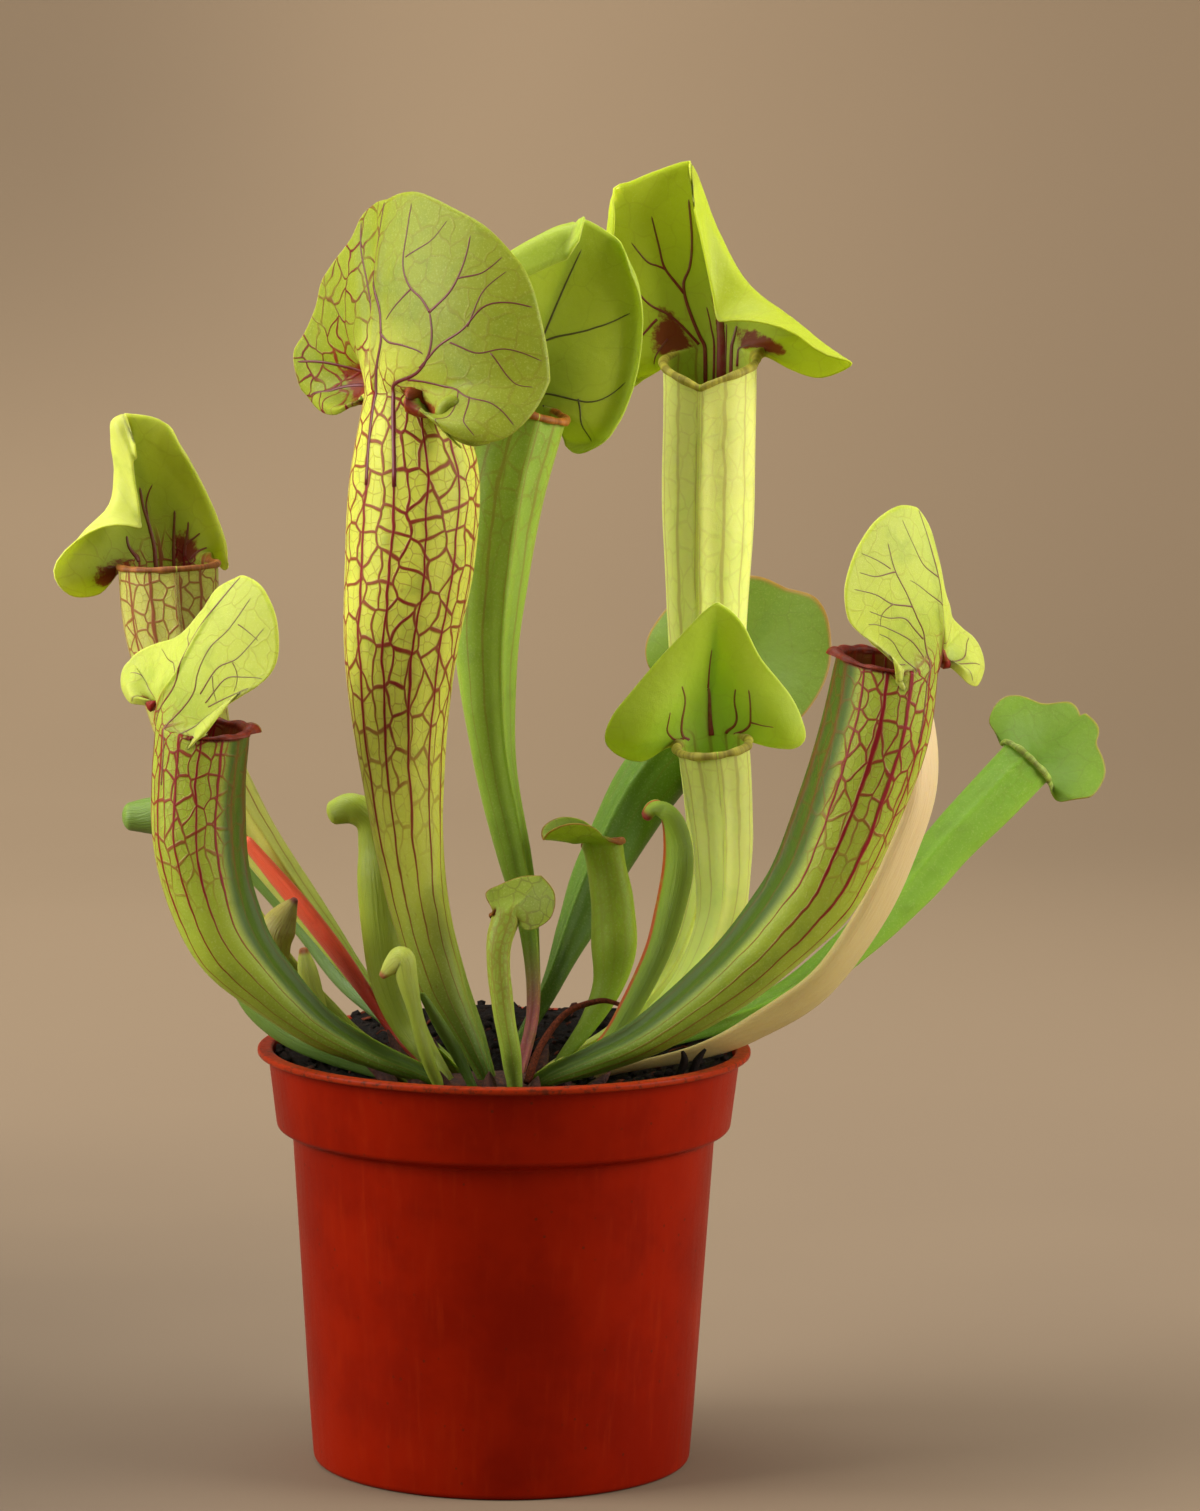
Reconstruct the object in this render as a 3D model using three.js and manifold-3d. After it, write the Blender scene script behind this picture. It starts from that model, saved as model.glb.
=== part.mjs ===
// A young trumpet pitcher plant growing in a twelve centimetre plastic pot.
// Millimetres, +Z up. The origin is the middle of the pot's underside, where it stands.
// X runs to the right and Y runs away from whoever faces the plant.

import * as THREE from 'three';
import Module from 'manifold-3d';

const wasm = await Module();
wasm.setup();

// The pot
const POT_RIM_RADIUS = 60;
const POT_HEIGHT = 101.9;
const POT_WALL = 1.3;
const POT_FLOOR = 1.6;
const POT_BASE_RADIUS = 46.2;
const POT_BASE_ROUND = 3;
const POT_STEP_HEIGHT = 81.7;
const POT_STEP_RADIUS = 52.5;
const POT_NECK_RADIUS = 51.4;
const POT_COLLAR_LOW_RADIUS = 55.2;
const POT_COLLAR_TOP_RADIUS = 57.4;
const POT_COLLAR_ROUND = 2.6;
const POT_LIP_THICK = 2;
const POT_SIDES = 40;
const DRAIN_HOLES = 6;
const DRAIN_RADIUS = 4;
const DRAIN_CIRCLE = 33;
const DRAIN_SIDES = 16;

// The peat and the crown that carries the leaves
const GAP = 0.3;
const SOIL_LEVEL = 100.6;
const SOIL_PIT_DEPTH = 6.2;
const SOIL_PIT_CENTRE = [-5, -30];
const SOIL_PIT_REACH = [46, 22];
const SOIL_RIPPLE = 0.45;
const SOIL_RINGS = 5;
const SOIL_SIDES = 32;
const CROWN_CENTRE = [0, -19, 91.5];
const CROWN_HALF = [29, 18, 7];
const ROOT_DEPTH = 92.5;
const ROOT_PULL = 0.25;

// Leaf tissue
const LEAF_WALL = 1.1;
const HOOD_THICK = 1.2;
const LOOK_UP = 0.35;
const WING_SPREAD = 0.3;
const RIM_RISE_FROM = 0.85;
const TIP_SHARE = 0.6;
const HOOD_STEPS = 12;
const HOOD_BLEND = 0.4;
const NECK_DROP = 2.5;
const RING_ANGLES = [0, 20, 60, 100, 140, 180, 220, 260, 300, 340];

const COLOURS = {
  pot: 0xa83a1c,
  peat: 0x2a1d14,
  crown: 0x6b3a22,
  leaf: 0x9fb63c,
  shade: 0x6f9436,
  red: 0xc2533a,
  withered: 0xe3cfa6,
  brown: 0x7b5226,
};

// Each leaf's spine is a list of x, y, z and the half width there, from the crown to the mouth or tip.
// facing is the compass angle its mouth looks toward, counted from +X to +Y.
// depth is front-to-back over side-to-side. wing is the height of the seam that runs down its front.
// A hood's left and right are its two halves as the mouth sees them, each an outline of side and up distances
// from the neck, apex first. It faces and tilts by its own angles, leans and bends over the mouth, and each
// half swings forward (cup) and rolls back at its edge (roll), at the neck and at the apex. rightCup is given
// where the right half swings by its own angles.
const LEAVES = [
  {
    name: 'pitcher_front_tall', tint: 'leaf', facing: 43, depth: 0.95, wing: 2.5,
    spine: [
      [-4, -24, 98, 1.8], [-8, -25, 107, 3.4], [-15, -24, 121, 5.9], [-20, -22, 137, 6.9],
      [-23, -20, 155, 8.6], [-25, -18, 179, 11.2], [-25, -17, 203, 14.2], [-23, -16, 224, 16.1],
      [-22, -15, 243, 15.6], [-23, -14, 257, 11.2],
    ],
    mouth: { rise: 5, column: 58, cavity: 46 },
    hood: {
      facing: 43, tilt: 2, lean: 0, bend: 18, cup: [45, 25], rightCup: [15, 15],
      leftRoll: [70, 50], rightRoll: [-40, -40],
      left: [
        [0, 46.4], [4.3, 46.6], [7.7, 46.5], [13, 44], [15.9, 38.3], [22.9, 33.2], [28, 28.6], [31, 22.8],
        [36.5, 16.7], [41.4, 12], [42.2, 5.8], [39.8, 0], [31.6, -5.3], [20.7, -6.3], [12, -5],
      ],
      right: [
        [0, 46.4], [5.7, 47.8], [11.7, 47.5], [21.5, 44], [29.6, 40.4], [36.2, 35], [41.5, 28.3], [44.8, 18],
        [46.7, 5.7], [46, -7], [42, -14.8], [36.3, -16.3], [30.3, -14.5], [24.6, -11], [18, -6], [11, -4],
      ],
    },
  },
  {
    name: 'pitcher_rear_left_tall', tint: 'leaf', facing: -65, depth: 0.95, wing: 2,
    spine: [
      [4, -16, 98, 1.4], [7, -6, 112, 1.6], [6, 2, 129, 2.4], [2, 7, 148, 4.1], [-3, 10, 171, 5.4],
      [-5, 12, 194, 7.4], [-4, 13, 214, 8.8], [-1, 14, 236, 9.8], [4, 15, 255, 9.8],
    ],
    mouth: { rise: 3, column: 58, cavity: 36 },
    hood: {
      facing: -70, tilt: 3, lean: 4, bend: 10, cup: [55, 30], leftRoll: [70, 60], rightRoll: [90, 80],
      left: [[0, 47], [8, 45], [17, 37], [23, 22], [25, 6], [21, -3], [13, -6], [8, -4]],
      right: [[0, 47], [8, 43], [16, 33], [22, 19], [23, 5], [18, -5], [9, -5]],
    },
  },
  {
    name: 'pitcher_rear_right_tall', tint: 'leaf', facing: -103, depth: 0.95, wing: 2,
    spine: [
      [11, -12, 98, 1.6], [30, 8, 106, 2.9], [44, 22, 120, 4.9], [51, 32, 144, 6.7], [50, 36, 173, 8.2],
      [49, 38, 203, 9.9], [49, 38, 228, 11.4], [49, 38, 250, 11.4], [49, 38, 264.5, 11.6],
    ],
    mouth: { rise: 5, column: 62, cavity: 40 },
    hood: {
      facing: -95, tilt: -9, lean: -2, bend: 12, cup: [45, 40], leftRoll: [25, 20], rightRoll: [60, 50],
      left: [
        [0, 47.2], [1.5, 43], [4.4, 30], [10.8, 15.5], [22.7, 5], [30.6, -3], [34.4, -9], [27, -12.5],
        [18.2, -8.5], [12, -4],
      ],
      right: [
        [0, 47.2], [2.5, 47.2], [7.5, 46.5], [13.5, 45.5], [20.5, 43], [24, 32], [28.5, 16], [29.5, 4],
        [25, -5], [18, -4.5], [12, -2],
      ],
    },
  },
  {
    name: 'pitcher_middle_right', tint: 'leaf', facing: -88, depth: 0.95, wing: 1.8,
    spine: [
      [16, -21, 98, 1.5], [32, -8, 106, 2.9], [45, 2, 117, 4.6], [52, 8, 131, 5.8], [53, 11, 147, 7.1],
      [52, 12, 161, 8], [50.5, 12, 173, 8.9],
    ],
    mouth: { rise: 3, column: 62, cavity: 30 },
    hood: {
      facing: -88, tilt: 9, lean: 2, bend: 18, cup: [40, 25], leftRoll: [60, 50], rightRoll: [60, 50],
      left: [
        [0, 34.4], [4, 32], [7.3, 28.4], [11.4, 21.3], [16.2, 15.6], [19.6, 11.2], [22.3, 6], [23.7, 0.9],
        [21, -2], [16.4, -1.6], [11.8, -0.5],
      ],
      right: [
        [0, 34.4], [4, 31], [8.7, 25.9], [14.6, 19.4], [20.6, 11.8], [25.2, 5.2], [26.7, -0.8], [23, -5.4],
        [17, -7], [11.8, -3],
      ],
    },
  },
  {
    name: 'pitcher_rear_right', tint: 'shade', facing: -110, depth: 0.95, wing: 1.8,
    spine: [
      [2, -8, 100, 1.3], [11, 10, 115, 2.4], [17, 20, 128, 4.7], [23, 30, 141, 6.4], [32, 40, 157, 8],
      [41, 48, 169, 8.5], [48, 53, 180, 8.6],
    ],
    mouth: { rise: 3, column: 62, cavity: 26 },
    hood: {
      facing: -100, tilt: 0, lean: -4, bend: 5, cup: [45, 20], leftRoll: [50, 40], rightRoll: [60, 40],
      left: [[0, 37], [8, 38], [15, 33], [21, 22], [23, 8], [20, -3], [12, -3]],
      right: [[0, 37], [8, 36], [17, 30], [23, 22], [24, 8], [20, 0], [12, -2]],
    },
  },
  {
    name: 'pitcher_right', tint: 'leaf', facing: 172, depth: 0.95, wing: 2.4,
    spine: [
      [10, -29, 98, 1.6], [23, -31, 103.5, 3], [37, -33, 110.5, 4.3], [55, -33, 124, 7.1],
      [68, -32, 137, 9.2], [76, -31, 148, 10.9], [83, -30, 165, 12.1], [88.8, -29, 184, 12.8],
      [91, -28, 200, 12.4],
    ],
    mouth: { rise: -1, column: 66, cavity: 40 },
    hood: {
      facing: 145, tilt: -17, lean: -12, bend: 36, cup: [30, 25], rightCup: [60, 40],
      leftRoll: [10, 0], rightRoll: [80, 50],
      left: [
        [0, 40.4], [5, 42.4], [10.3, 42.4], [16, 40.8], [22.5, 36.5], [27.3, 30.6], [29, 25.7], [28.8, 20],
        [26, 15.7], [21.4, 11.3], [17.1, 7.8], [15.4, 3], [15, -3], [12, -7],
      ],
      right: [
        [0, 40.4], [2.5, 35], [3, 26], [5, 17], [16, 9.5], [27, 1.5], [30, -4], [27.5, -10.5], [21, -13],
        [15, -9], [12, -4],
      ],
    },
  },
  {
    name: 'leaf_withered', tint: 'withered', facing: 150, depth: 0.35, wing: 0, tip: true,
    spine: [
      [23, -18, 98, 1.4], [46, -17, 103.5, 2.8], [62, -13, 110, 5], [76, -9, 119, 6.7], [87, -6, 133, 7.3],
      [95, -4, 149, 7.3], [101, -2, 167, 6.6], [99, 0, 187, 5.5], [91, 2, 205, 4],
    ],
  },
  {
    name: 'pitcher_far_right', tint: 'shade', facing: -100, depth: 0.85, wing: 1.4,
    spine: [
      [19, -4, 98, 1.4], [45, 10, 104, 2.4], [68, 18, 111, 3.9], [87, 26, 125, 4.9], [100, 32, 137, 5.7],
      [109, 36, 147, 6.2], [119, 40, 157, 6.7], [129, 44, 167, 7],
    ],
    mouth: { rise: 0.5, column: 75, cavity: 18 },
    hood: {
      facing: -95, tilt: 0, lean: -4, bend: -10, cup: [35, 15], leftRoll: [30, 20], rightRoll: [20, 20],
      left: [[0, 21], [6, 21], [9, 16], [16, 11], [18, 4], [14, -2], [8, -1]],
      right: [[0, 21], [5, 20], [10, 15], [17, 9], [15, 1], [9, -1]],
    },
  },
  {
    name: 'pitcher_left', tint: 'leaf', facing: 10, depth: 0.95, wing: 2.4,
    spine: [
      [-17, -29, 98, 1.6], [-32, -32, 104.5, 2.6], [-45, -34, 111.5, 4], [-56, -35, 121, 6.4],
      [-65, -35, 131, 8.5], [-70, -34, 142, 9.7], [-73, -33, 156, 10.7], [-73, -32, 170, 10.9],
      [-71.8, -31, 183, 11.4],
    ],
    mouth: { rise: -1, column: 66, cavity: 38 },
    hood: {
      facing: 40, tilt: 31, lean: -10, bend: 23, cup: [60, 40], rightCup: [30, 25],
      leftRoll: [80, 50], rightRoll: [10, 0],
      left: [
        [0, 43.8], [3.3, 38], [3.7, 31], [7.5, 21.8], [20, 11], [26.5, 3], [26.8, -2.6], [22.3, -6.5],
        [16, -6], [11, -3],
      ],
      right: [
        [0, 43.8], [1.7, 46], [6.5, 47.4], [11, 46.6], [16, 44], [20.8, 38.7], [22.4, 33.7], [21.3, 28.2],
        [19.2, 25.7], [17.5, 21.6], [16.4, 15.4], [15, 9.8], [13, 4.9], [12, 0], [11, -3],
      ],
    },
  },
  {
    name: 'pitcher_rear_left', tint: 'leaf', facing: -77, depth: 0.95, wing: 1.8,
    spine: [
      [-12, -13, 99, 1.4], [-31, 6, 112, 2.2], [-44, 14, 127, 3.7], [-56, 19, 142, 4.9], [-66, 22, 156, 6.4],
      [-75.5, 25, 171, 8.6], [-80, 27, 185, 10.3], [-83, 29, 201, 11.8], [-84, 30, 215, 12.3],
    ],
    mouth: { rise: 2, column: 62, cavity: 36 },
    hood: {
      facing: -80, tilt: -12, lean: 0, bend: 12, cup: [45, 40], leftRoll: [60, 50], rightRoll: [25, 20],
      left: [[0, 38], [8.5, 34.3], [11.8, 26.7], [13.9, 18.6], [15.6, 9], [16.3, -0.2], [14.7, -6], [11, -3]],
      right: [
        [0, 38], [3.5, 37.5], [5, 32], [6, 25.2], [10, 17.2], [19.3, 12.2], [27.8, 5], [26.7, -2.4],
        [19.3, -4.5], [12, -3],
      ],
    },
  },
  {
    name: 'pitcher_far_left', tint: 'shade', facing: 0, depth: 0.9, wing: 0, tip: true,
    spine: [
      [-16, -8, 98, 1.3], [-27, 6, 105.5, 1.7], [-40, 20, 114, 2.2], [-51, 30, 127, 3], [-63, 36, 140, 3.7],
      [-76, 40, 149, 4.6], [-86, 42, 152, 5.5], [-94, 42, 152, 4],
    ],
  },
  {
    name: 'leaf_red', tint: 'red', facing: 20, depth: 0.45, wing: 0, tip: true,
    spine: [
      [-17, -17, 98, 1.4], [-26, -6, 105, 1.9], [-33, -1, 114, 3.1], [-40, 3, 123, 4.2], [-49, 6, 134, 4.4],
      [-57, 8, 143, 3.9], [-63, 9, 150, 3],
    ],
  },
  {
    name: 'pitcher_behind_front', tint: 'leaf', facing: 30, depth: 0.9, wing: 1.2, tip: true,
    spine: [
      [-14, -22, 98, 1.4], [-23, -10, 107, 3.4], [-28, -5, 118, 4.8], [-30, -3, 131, 5.3],
      [-31, -2, 143, 5.3], [-31, -1, 151, 4.9], [-33, -1, 159, 4],
    ],
  },
  {
    name: 'pitcher_young_brown', tint: 'brown', facing: 30, depth: 0.9, wing: 0, tip: true,
    spine: [
      [-25, -19, 97.5, 1.2], [-39, -15, 103, 1.4], [-49, -13, 111, 1.9], [-54, -11, 121, 2.4],
      [-54, -11, 131, 4.4], [-51, -11, 138, 2],
    ],
  },
  {
    name: 'pitcher_young_green', tint: 'leaf', facing: 30, depth: 0.9, wing: 0, tip: true,
    spine: [
      [-23, -24, 97.5, 1.2], [-34, -22, 103.5, 1.4], [-42, -20, 109.5, 1.7], [-45, -19, 116, 2.4],
      [-47, -19, 123, 2.6], [-48, -19, 128, 1.2],
    ],
  },
  {
    name: 'pitcher_young_front', tint: 'leaf', facing: 60, depth: 0.9, wing: 0, tip: true,
    spine: [
      [-15, -32, 98, 1.5], [-18, -36, 106, 1.9], [-21, -37, 116, 1.9], [-25, -37, 124, 2.6],
      [-27, -37, 131, 1.2],
    ],
  },
  {
    name: 'pitcher_small_front', tint: 'leaf', facing: 100, depth: 0.95, wing: 0.8,
    spine: [
      [3, -31, 97.5, 1.9], [2, -36, 107, 2.4], [0, -37, 119, 2.6], [-1, -37, 131, 2.9],
      [0.5, -36, 138, 3.4],
    ],
    mouth: { rise: 1.5, column: 66, cavity: 6 },
    hood: {
      facing: 85, tilt: 24, lean: 10, bend: 30, cup: [40, 20], leftRoll: [60, 20], rightRoll: [40, 20],
      left: [[0, 13.5], [3.5, 10], [6.5, 5], [8, 1], [5, -1.5]],
      right: [[0, 13.5], [5, 12.5], [8, 7], [7, 2], [4, -1]],
    },
  },
  {
    name: 'pitcher_open_cup', tint: 'leaf', facing: 60, depth: 0.9, wing: 0.8,
    spine: [
      [13, -11, 99, 1.3], [20, -6, 108, 2.2], [25, -2, 117, 3.6], [27, 0, 127, 5.1], [27, 2, 137, 4.6],
      [25, 3, 146, 4.3], [24, 3, 151, 5],
    ],
    mouth: { rise: 0.5, column: 75, cavity: 8 },
    hood: {
      facing: 10, tilt: 0, lean: -60, bend: 10, cup: [30, 20], leftRoll: [0, 0], rightRoll: [0, 0],
      left: [[0, 12], [5, 10], [7, 5], [6, 0]],
      right: [[0, 12], [5, 10], [7, 5], [6, 0]],
    },
  },
  {
    name: 'pitcher_red_tip', tint: 'leaf', facing: 170, depth: 0.9, wing: 0.8, tip: true,
    spine: [
      [15, -24, 98, 1.4], [25, -21, 106, 2.1], [31, -18, 115, 2.6], [37, -15, 127, 3.1], [40, -14, 137, 3.6],
      [42, -14, 148, 3.8], [41, -14, 156, 3.4], [38, -15, 162, 2.2],
    ],
  },
  {
    name: 'leaf_low_left', tint: 'shade', facing: 60, depth: 0.5, wing: 0, tip: true,
    spine: [
      [-22, -22, 97, 1.4], [-33, -19, 99.5, 2], [-45, -16, 103, 2.4], [-54, -12, 107, 2.8], [-61, -9, 113, 3],
      [-65, -8, 122, 3.2], [-68, -8, 133, 2.4],
    ],
  },
  {
    name: 'leaf_left_behind', tint: 'leaf', facing: 40, depth: 0.5, wing: 0, tip: true,
    spine: [
      [-20, -15, 98, 1.2], [-34, -9, 105, 1.9], [-42, -7, 112, 2.4], [-50, -5, 120, 2.6], [-57, -4, 129, 2.7],
      [-62, -3, 138, 1.6],
    ],
  },
  {
    name: 'leaf_narrow', tint: 'leaf', facing: 60, depth: 0.5, wing: 0, tip: true,
    spine: [[-7, -32, 97.5, 1.3], [-11, -33, 106, 1.8], [-15, -34, 113, 1.8], [-19, -35, 120, 1]],
  },
];

// Turns vertex and triangle lists into a closed solid, facing outward.
function makeSolid(points, triangles) {
  let volume = 0;
  for (const [a, b, c] of triangles) {
    volume += points[a].dot(new THREE.Vector3().crossVectors(points[b], points[c]));
  }
  const faces = volume < 0 ? triangles.map(([a, b, c]) => [a, c, b]) : triangles;
  const vertProperties = new Float32Array(points.flatMap((p) => [p.x, p.y, p.z]));
  const triVerts = new Uint32Array(faces.flat());
  return new wasm.Manifold(new wasm.Mesh({ numProp: 3, vertProperties, triVerts }));
}

// Turns a solid back into geometry that a mesh can show.
function toGeometry(solid) {
  const mesh = solid.getMesh();
  const geometry = new THREE.BufferGeometry();
  geometry.setAttribute('position', new THREE.BufferAttribute(new Float32Array(mesh.vertProperties), 3));
  geometry.setIndex(new THREE.BufferAttribute(new Uint32Array(mesh.triVerts), 1));
  geometry.computeVertexNormals();
  return geometry;
}

// After a cut, keeps the one large body and drops loose crumbs.
function largest(solid) {
  return solid.decompose().reduce((best, body) => (body.volume() > best.volume() ? body : best));
}

// Stacks closed rings of points into a skin, with a middle point closing each end.
function stackRings(rings) {
  const size = rings[0].length;
  const points = rings.flat();
  const triangles = [];
  for (let row = 0; row + 1 < rings.length; row += 1) {
    for (let k = 0; k < size; k += 1) {
      const a = row * size + k;
      const b = row * size + ((k + 1) % size);
      triangles.push([a, b, b + size], [a, b + size, a + size]);
    }
  }
  for (const row of [0, rings.length - 1]) {
    const middle = new THREE.Vector3();
    rings[row].forEach((p) => middle.addScaledVector(p, 1 / size));
    const hub = points.push(middle) - 1;
    for (let k = 0; k < size; k += 1) {
      const a = row * size + k;
      const b = row * size + ((k + 1) % size);
      triangles.push(row === 0 ? [b, a, hub] : [a, b, hub]);
    }
  }
  return makeSolid(points, triangles);
}

const radians = THREE.MathUtils.degToRad;
const blend = (a, b, f) => a + (b - a) * f;
const ease = (low, high, value) => THREE.MathUtils.smoothstep(value, low, high);

// A smooth line through hand-placed stations of x, y, z and half width.
function along(stations, t) {
  const last = stations.length - 1;
  const place = Math.min(Math.max(t, 0) * last, last - 1e-9);
  const i = Math.floor(place);
  const f = place - i;
  const pick = (k) => stations[Math.max(0, Math.min(last, k))];
  const [p, q, r, s] = [pick(i - 1), pick(i), pick(i + 1), pick(i + 2)];
  return q.map((value, k) => {
    const bow = 2 * p[k] - 5 * value + 4 * r[k] - s[k];
    const sway = 3 * value - p[k] - 3 * r[k] + s[k];
    return 0.5 * (2 * value + (r[k] - p[k]) * f + bow * f * f + sway * f * f * f);
  });
}

// Where the spine is at t, with the directions up the tube, to its front and to its side.
function frameAt(leaf, t) {
  const step = 0.02;
  const [x, y, z, half] = along(leaf.line, t);
  const before = along(leaf.line, Math.max(0, t - step));
  const after = along(leaf.line, Math.min(1, t + step));
  const up = new THREE.Vector3(after[0] - before[0], after[1] - before[1], after[2] - before[2]).normalize();
  const turn = radians(leaf.facing);
  const front = new THREE.Vector3(Math.cos(turn), Math.sin(turn), LOOK_UP);
  front.addScaledVector(up, -front.dot(up)).normalize();
  const side = new THREE.Vector3().crossVectors(up, front);
  return { centre: new THREE.Vector3(x, y, z), half, up, front, side };
}

// A point on the tube's skin. Angle 0 is the front seam and 180 is the back.
function skinPoint(leaf, t, degrees, grow, lift = 0) {
  const { centre, half, up, front, side } = frameAt(leaf, t);
  const turn = radians(degrees > 180 ? degrees - 360 : degrees);
  const reach = Math.max(half + grow, 0.25);
  const ends = Math.sqrt(Math.sin(Math.PI * blend(0.03, 0.97, t)));
  const seam = grow < 0 ? 0 : leaf.wing * ends * Math.exp(-((turn / WING_SPREAD) ** 2));
  const rise = leaf.mouth ? (leaf.mouth.rise * (1 - Math.cos(turn)) * ease(RIM_RISE_FROM, 1, t)) / 2 : 0;
  return centre
    .addScaledVector(side, reach * Math.sin(turn))
    .addScaledVector(front, reach * leaf.depth * Math.cos(turn) + seam)
    .addScaledVector(up, rise + lift);
}

const ringAt = (leaf, t, grow, lift) => RING_ANGLES.map((a) => skinPoint(leaf, t, a, grow, lift));

// The tube, from the crown to the mouth or the closed tip. grow swells it for making room around it.
function tubeSolid(leaf, grow) {
  const rows = Math.round(leaf.line.length * leaf.rows);
  const rings = [];
  for (let row = 0; row <= rows; row += 1) {
    const t = row / rows;
    rings.push(ringAt(leaf, t, grow));
  }
  if (leaf.tip) {
    const half = leaf.line.at(-1)[3];
    rings.push(ringAt(leaf, 1, grow - half * 0.5, half * TIP_SHARE));
  }
  return stackRings(rings);
}

// The hollow below the mouth.
function cavitySolid(leaf) {
  const reach = leaf.length;
  const rings = [ringAt(leaf, 1, -LEAF_WALL, 3)];
  const steps = leaf.mouth.cavity > 12 ? 5 : 3;
  for (let k = 0; k <= steps; k += 1) {
    const t = 1 - (leaf.mouth.cavity / reach) * (k / steps);
    rings.push(ringAt(leaf, t, -LEAF_WALL));
  }
  return stackRings(rings.reverse());
}

// The hood's own directions: up its midrib, out of its mouth side and across it.
function hoodFrame(leaf) {
  const { hood } = leaf;
  const top = frameAt(leaf, 1);
  const turn = radians(hood.facing);
  const front = new THREE.Vector3(Math.cos(turn), Math.sin(turn), LOOK_UP);
  front.addScaledVector(top.up, -front.dot(top.up)).normalize();
  const side = new THREE.Vector3().crossVectors(top.up, front);
  const tilt = radians(hood.tilt);
  const viewed = Math.sign(Math.sin(turn)) || 1;
  const up = top.up.clone().multiplyScalar(Math.cos(tilt)).addScaledVector(side, -viewed * Math.sin(tilt));
  side.crossVectors(up, front);
  return { up, front, side };
}

// The hood's sheet: x runs across it from the midrib and y runs up it from the neck.
function hoodPoint(leaf, x, y) {
  const { hood } = leaf;
  const { up, front, side } = hoodFrame(leaf);
  const root = skinPoint(leaf, 1, 180, -LEAF_WALL / 2);
  const length = hood.left[0][1];
  let lean = radians(hood.lean);
  for (let k = 0; k < HOOD_STEPS; k += 1) {
    const run = Math.max(y, 0) / HOOD_STEPS;
    lean = radians(hood.lean + (hood.bend * (k + 0.5) * run) / length);
    root.addScaledVector(up, Math.cos(lean) * run).addScaledVector(front, Math.sin(lean) * run);
  }
  if (y < 0) {
    root.addScaledVector(up, Math.cos(lean) * y).addScaledVector(front, Math.sin(lean) * y);
  }
  const inward = up.clone().multiplyScalar(-Math.sin(lean)).addScaledVector(front, Math.cos(lean));
  const level = THREE.MathUtils.clamp(y / length, 0, 1);
  const cup = x < 0 && hood.rightCup ? hood.rightCup : hood.cup;
  const swing = radians(blend(cup[0], cup[1], ease(0, 0.8, level)));
  const rolls = x > 0 ? hood.leftRoll : hood.rightRoll;
  const widest = Math.max(...(x > 0 ? hood.left : hood.right).map(([across]) => across));
  const roll = radians(blend(rolls[0], rolls[1], level));
  const neck = leaf.line.at(-1)[3] * 0.8;
  const run = Math.abs(x) / HOOD_STEPS;
  for (let k = 0; k < HOOD_STEPS; k += 1) {
    const out = (k + 0.5) * run;
    const turn = swing * (1 - Math.exp(-out / neck)) - roll * (out / widest) ** 2;
    root.addScaledVector(side, Math.cos(turn) * run * Math.sign(x));
    root.addScaledVector(inward, Math.sin(turn) * run);
  }
  return root;
}

// The hood and the neck that joins it to the back of the mouth, as one thin solid.
function hoodSolid(leaf) {
  const { hood, mouth } = leaf;
  const [across, out] = hood.left[0][1] > 25 ? [16, 4] : [10, 3];
  const grid = [];
  for (let j = 0; j <= out; j += 1) {
    const f = j / out;
    for (let i = 0; i <= across; i += 1) {
      const fan = (i / across) * 2 - 1;
      const [edgeX, edgeY] = along(fan > 0 ? hood.left : hood.right, Math.abs(fan));
      const neckX = fan * radians(mouth.column) * leaf.line.at(-1)[3];
      const sheet = hoodPoint(leaf, blend(neckX, edgeX * Math.sign(fan), f), edgeY * f);
      const wall = skinPoint(leaf, 1, 180 - fan * mouth.column, -LEAF_WALL / 2, -NECK_DROP);
      grid.push(wall.lerp(sheet, ease(0, HOOD_BLEND, f)));
    }
  }
  const wide = across + 1;
  const at = (i, j) => grid[Math.max(0, Math.min(out, j)) * wide + Math.max(0, Math.min(across, i))];
  const points = [];
  for (const sign of [1, -1]) {
    for (let j = 0; j <= out; j += 1) {
      for (let i = 0; i <= across; i += 1) {
        const du = at(i + 1, j).clone().sub(at(i - 1, j));
        const dv = at(i, j + 1).clone().sub(at(i, j - 1));
        const normal = du.cross(dv).normalize();
        points.push(at(i, j).clone().addScaledVector(normal, (sign * HOOD_THICK) / 2));
      }
    }
  }
  const count = grid.length;
  const triangles = [];
  const quad = (a, b, c, d) => triangles.push([a, b, c], [a, c, d]);
  for (let j = 0; j < out; j += 1) {
    for (let i = 0; i < across; i += 1) {
      const a = j * wide + i;
      quad(a, a + 1, a + 1 + wide, a + wide);
      quad(count + a + wide, count + a + 1 + wide, count + a + 1, count + a);
    }
  }
  for (let i = 0; i < across; i += 1) {
    const far = out * wide + i;
    quad(i + 1, i, count + i, count + i + 1);
    quad(far, far + 1, count + far + 1, count + far);
  }
  for (let j = 0; j < out; j += 1) {
    const a = j * wide;
    const b = a + across;
    quad(a, a + wide, count + a + wide, count + a);
    quad(b + wide, b, count + b, count + b + wide);
  }
  return makeSolid(points, triangles);
}

// A leaf's spine runs on down into the crown, and its length is measured once.
function prepare(leaf) {
  const [x, y, , half] = leaf.spine[0];
  const root = [blend(x, CROWN_CENTRE[0], ROOT_PULL), blend(y, CROWN_CENTRE[1], ROOT_PULL), ROOT_DEPTH, half];
  leaf.line = [root, ...leaf.spine];
  leaf.rows = leaf.spine.length > 8 ? 1.2 : 1;
  leaf.length = leaf.line.reduce((sum, s, i) => {
    const b = leaf.line[Math.max(0, i - 1)];
    return sum + Math.hypot(s[0] - b[0], s[1] - b[1], s[2] - b[2]);
  }, 0);
  return leaf;
}

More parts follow.
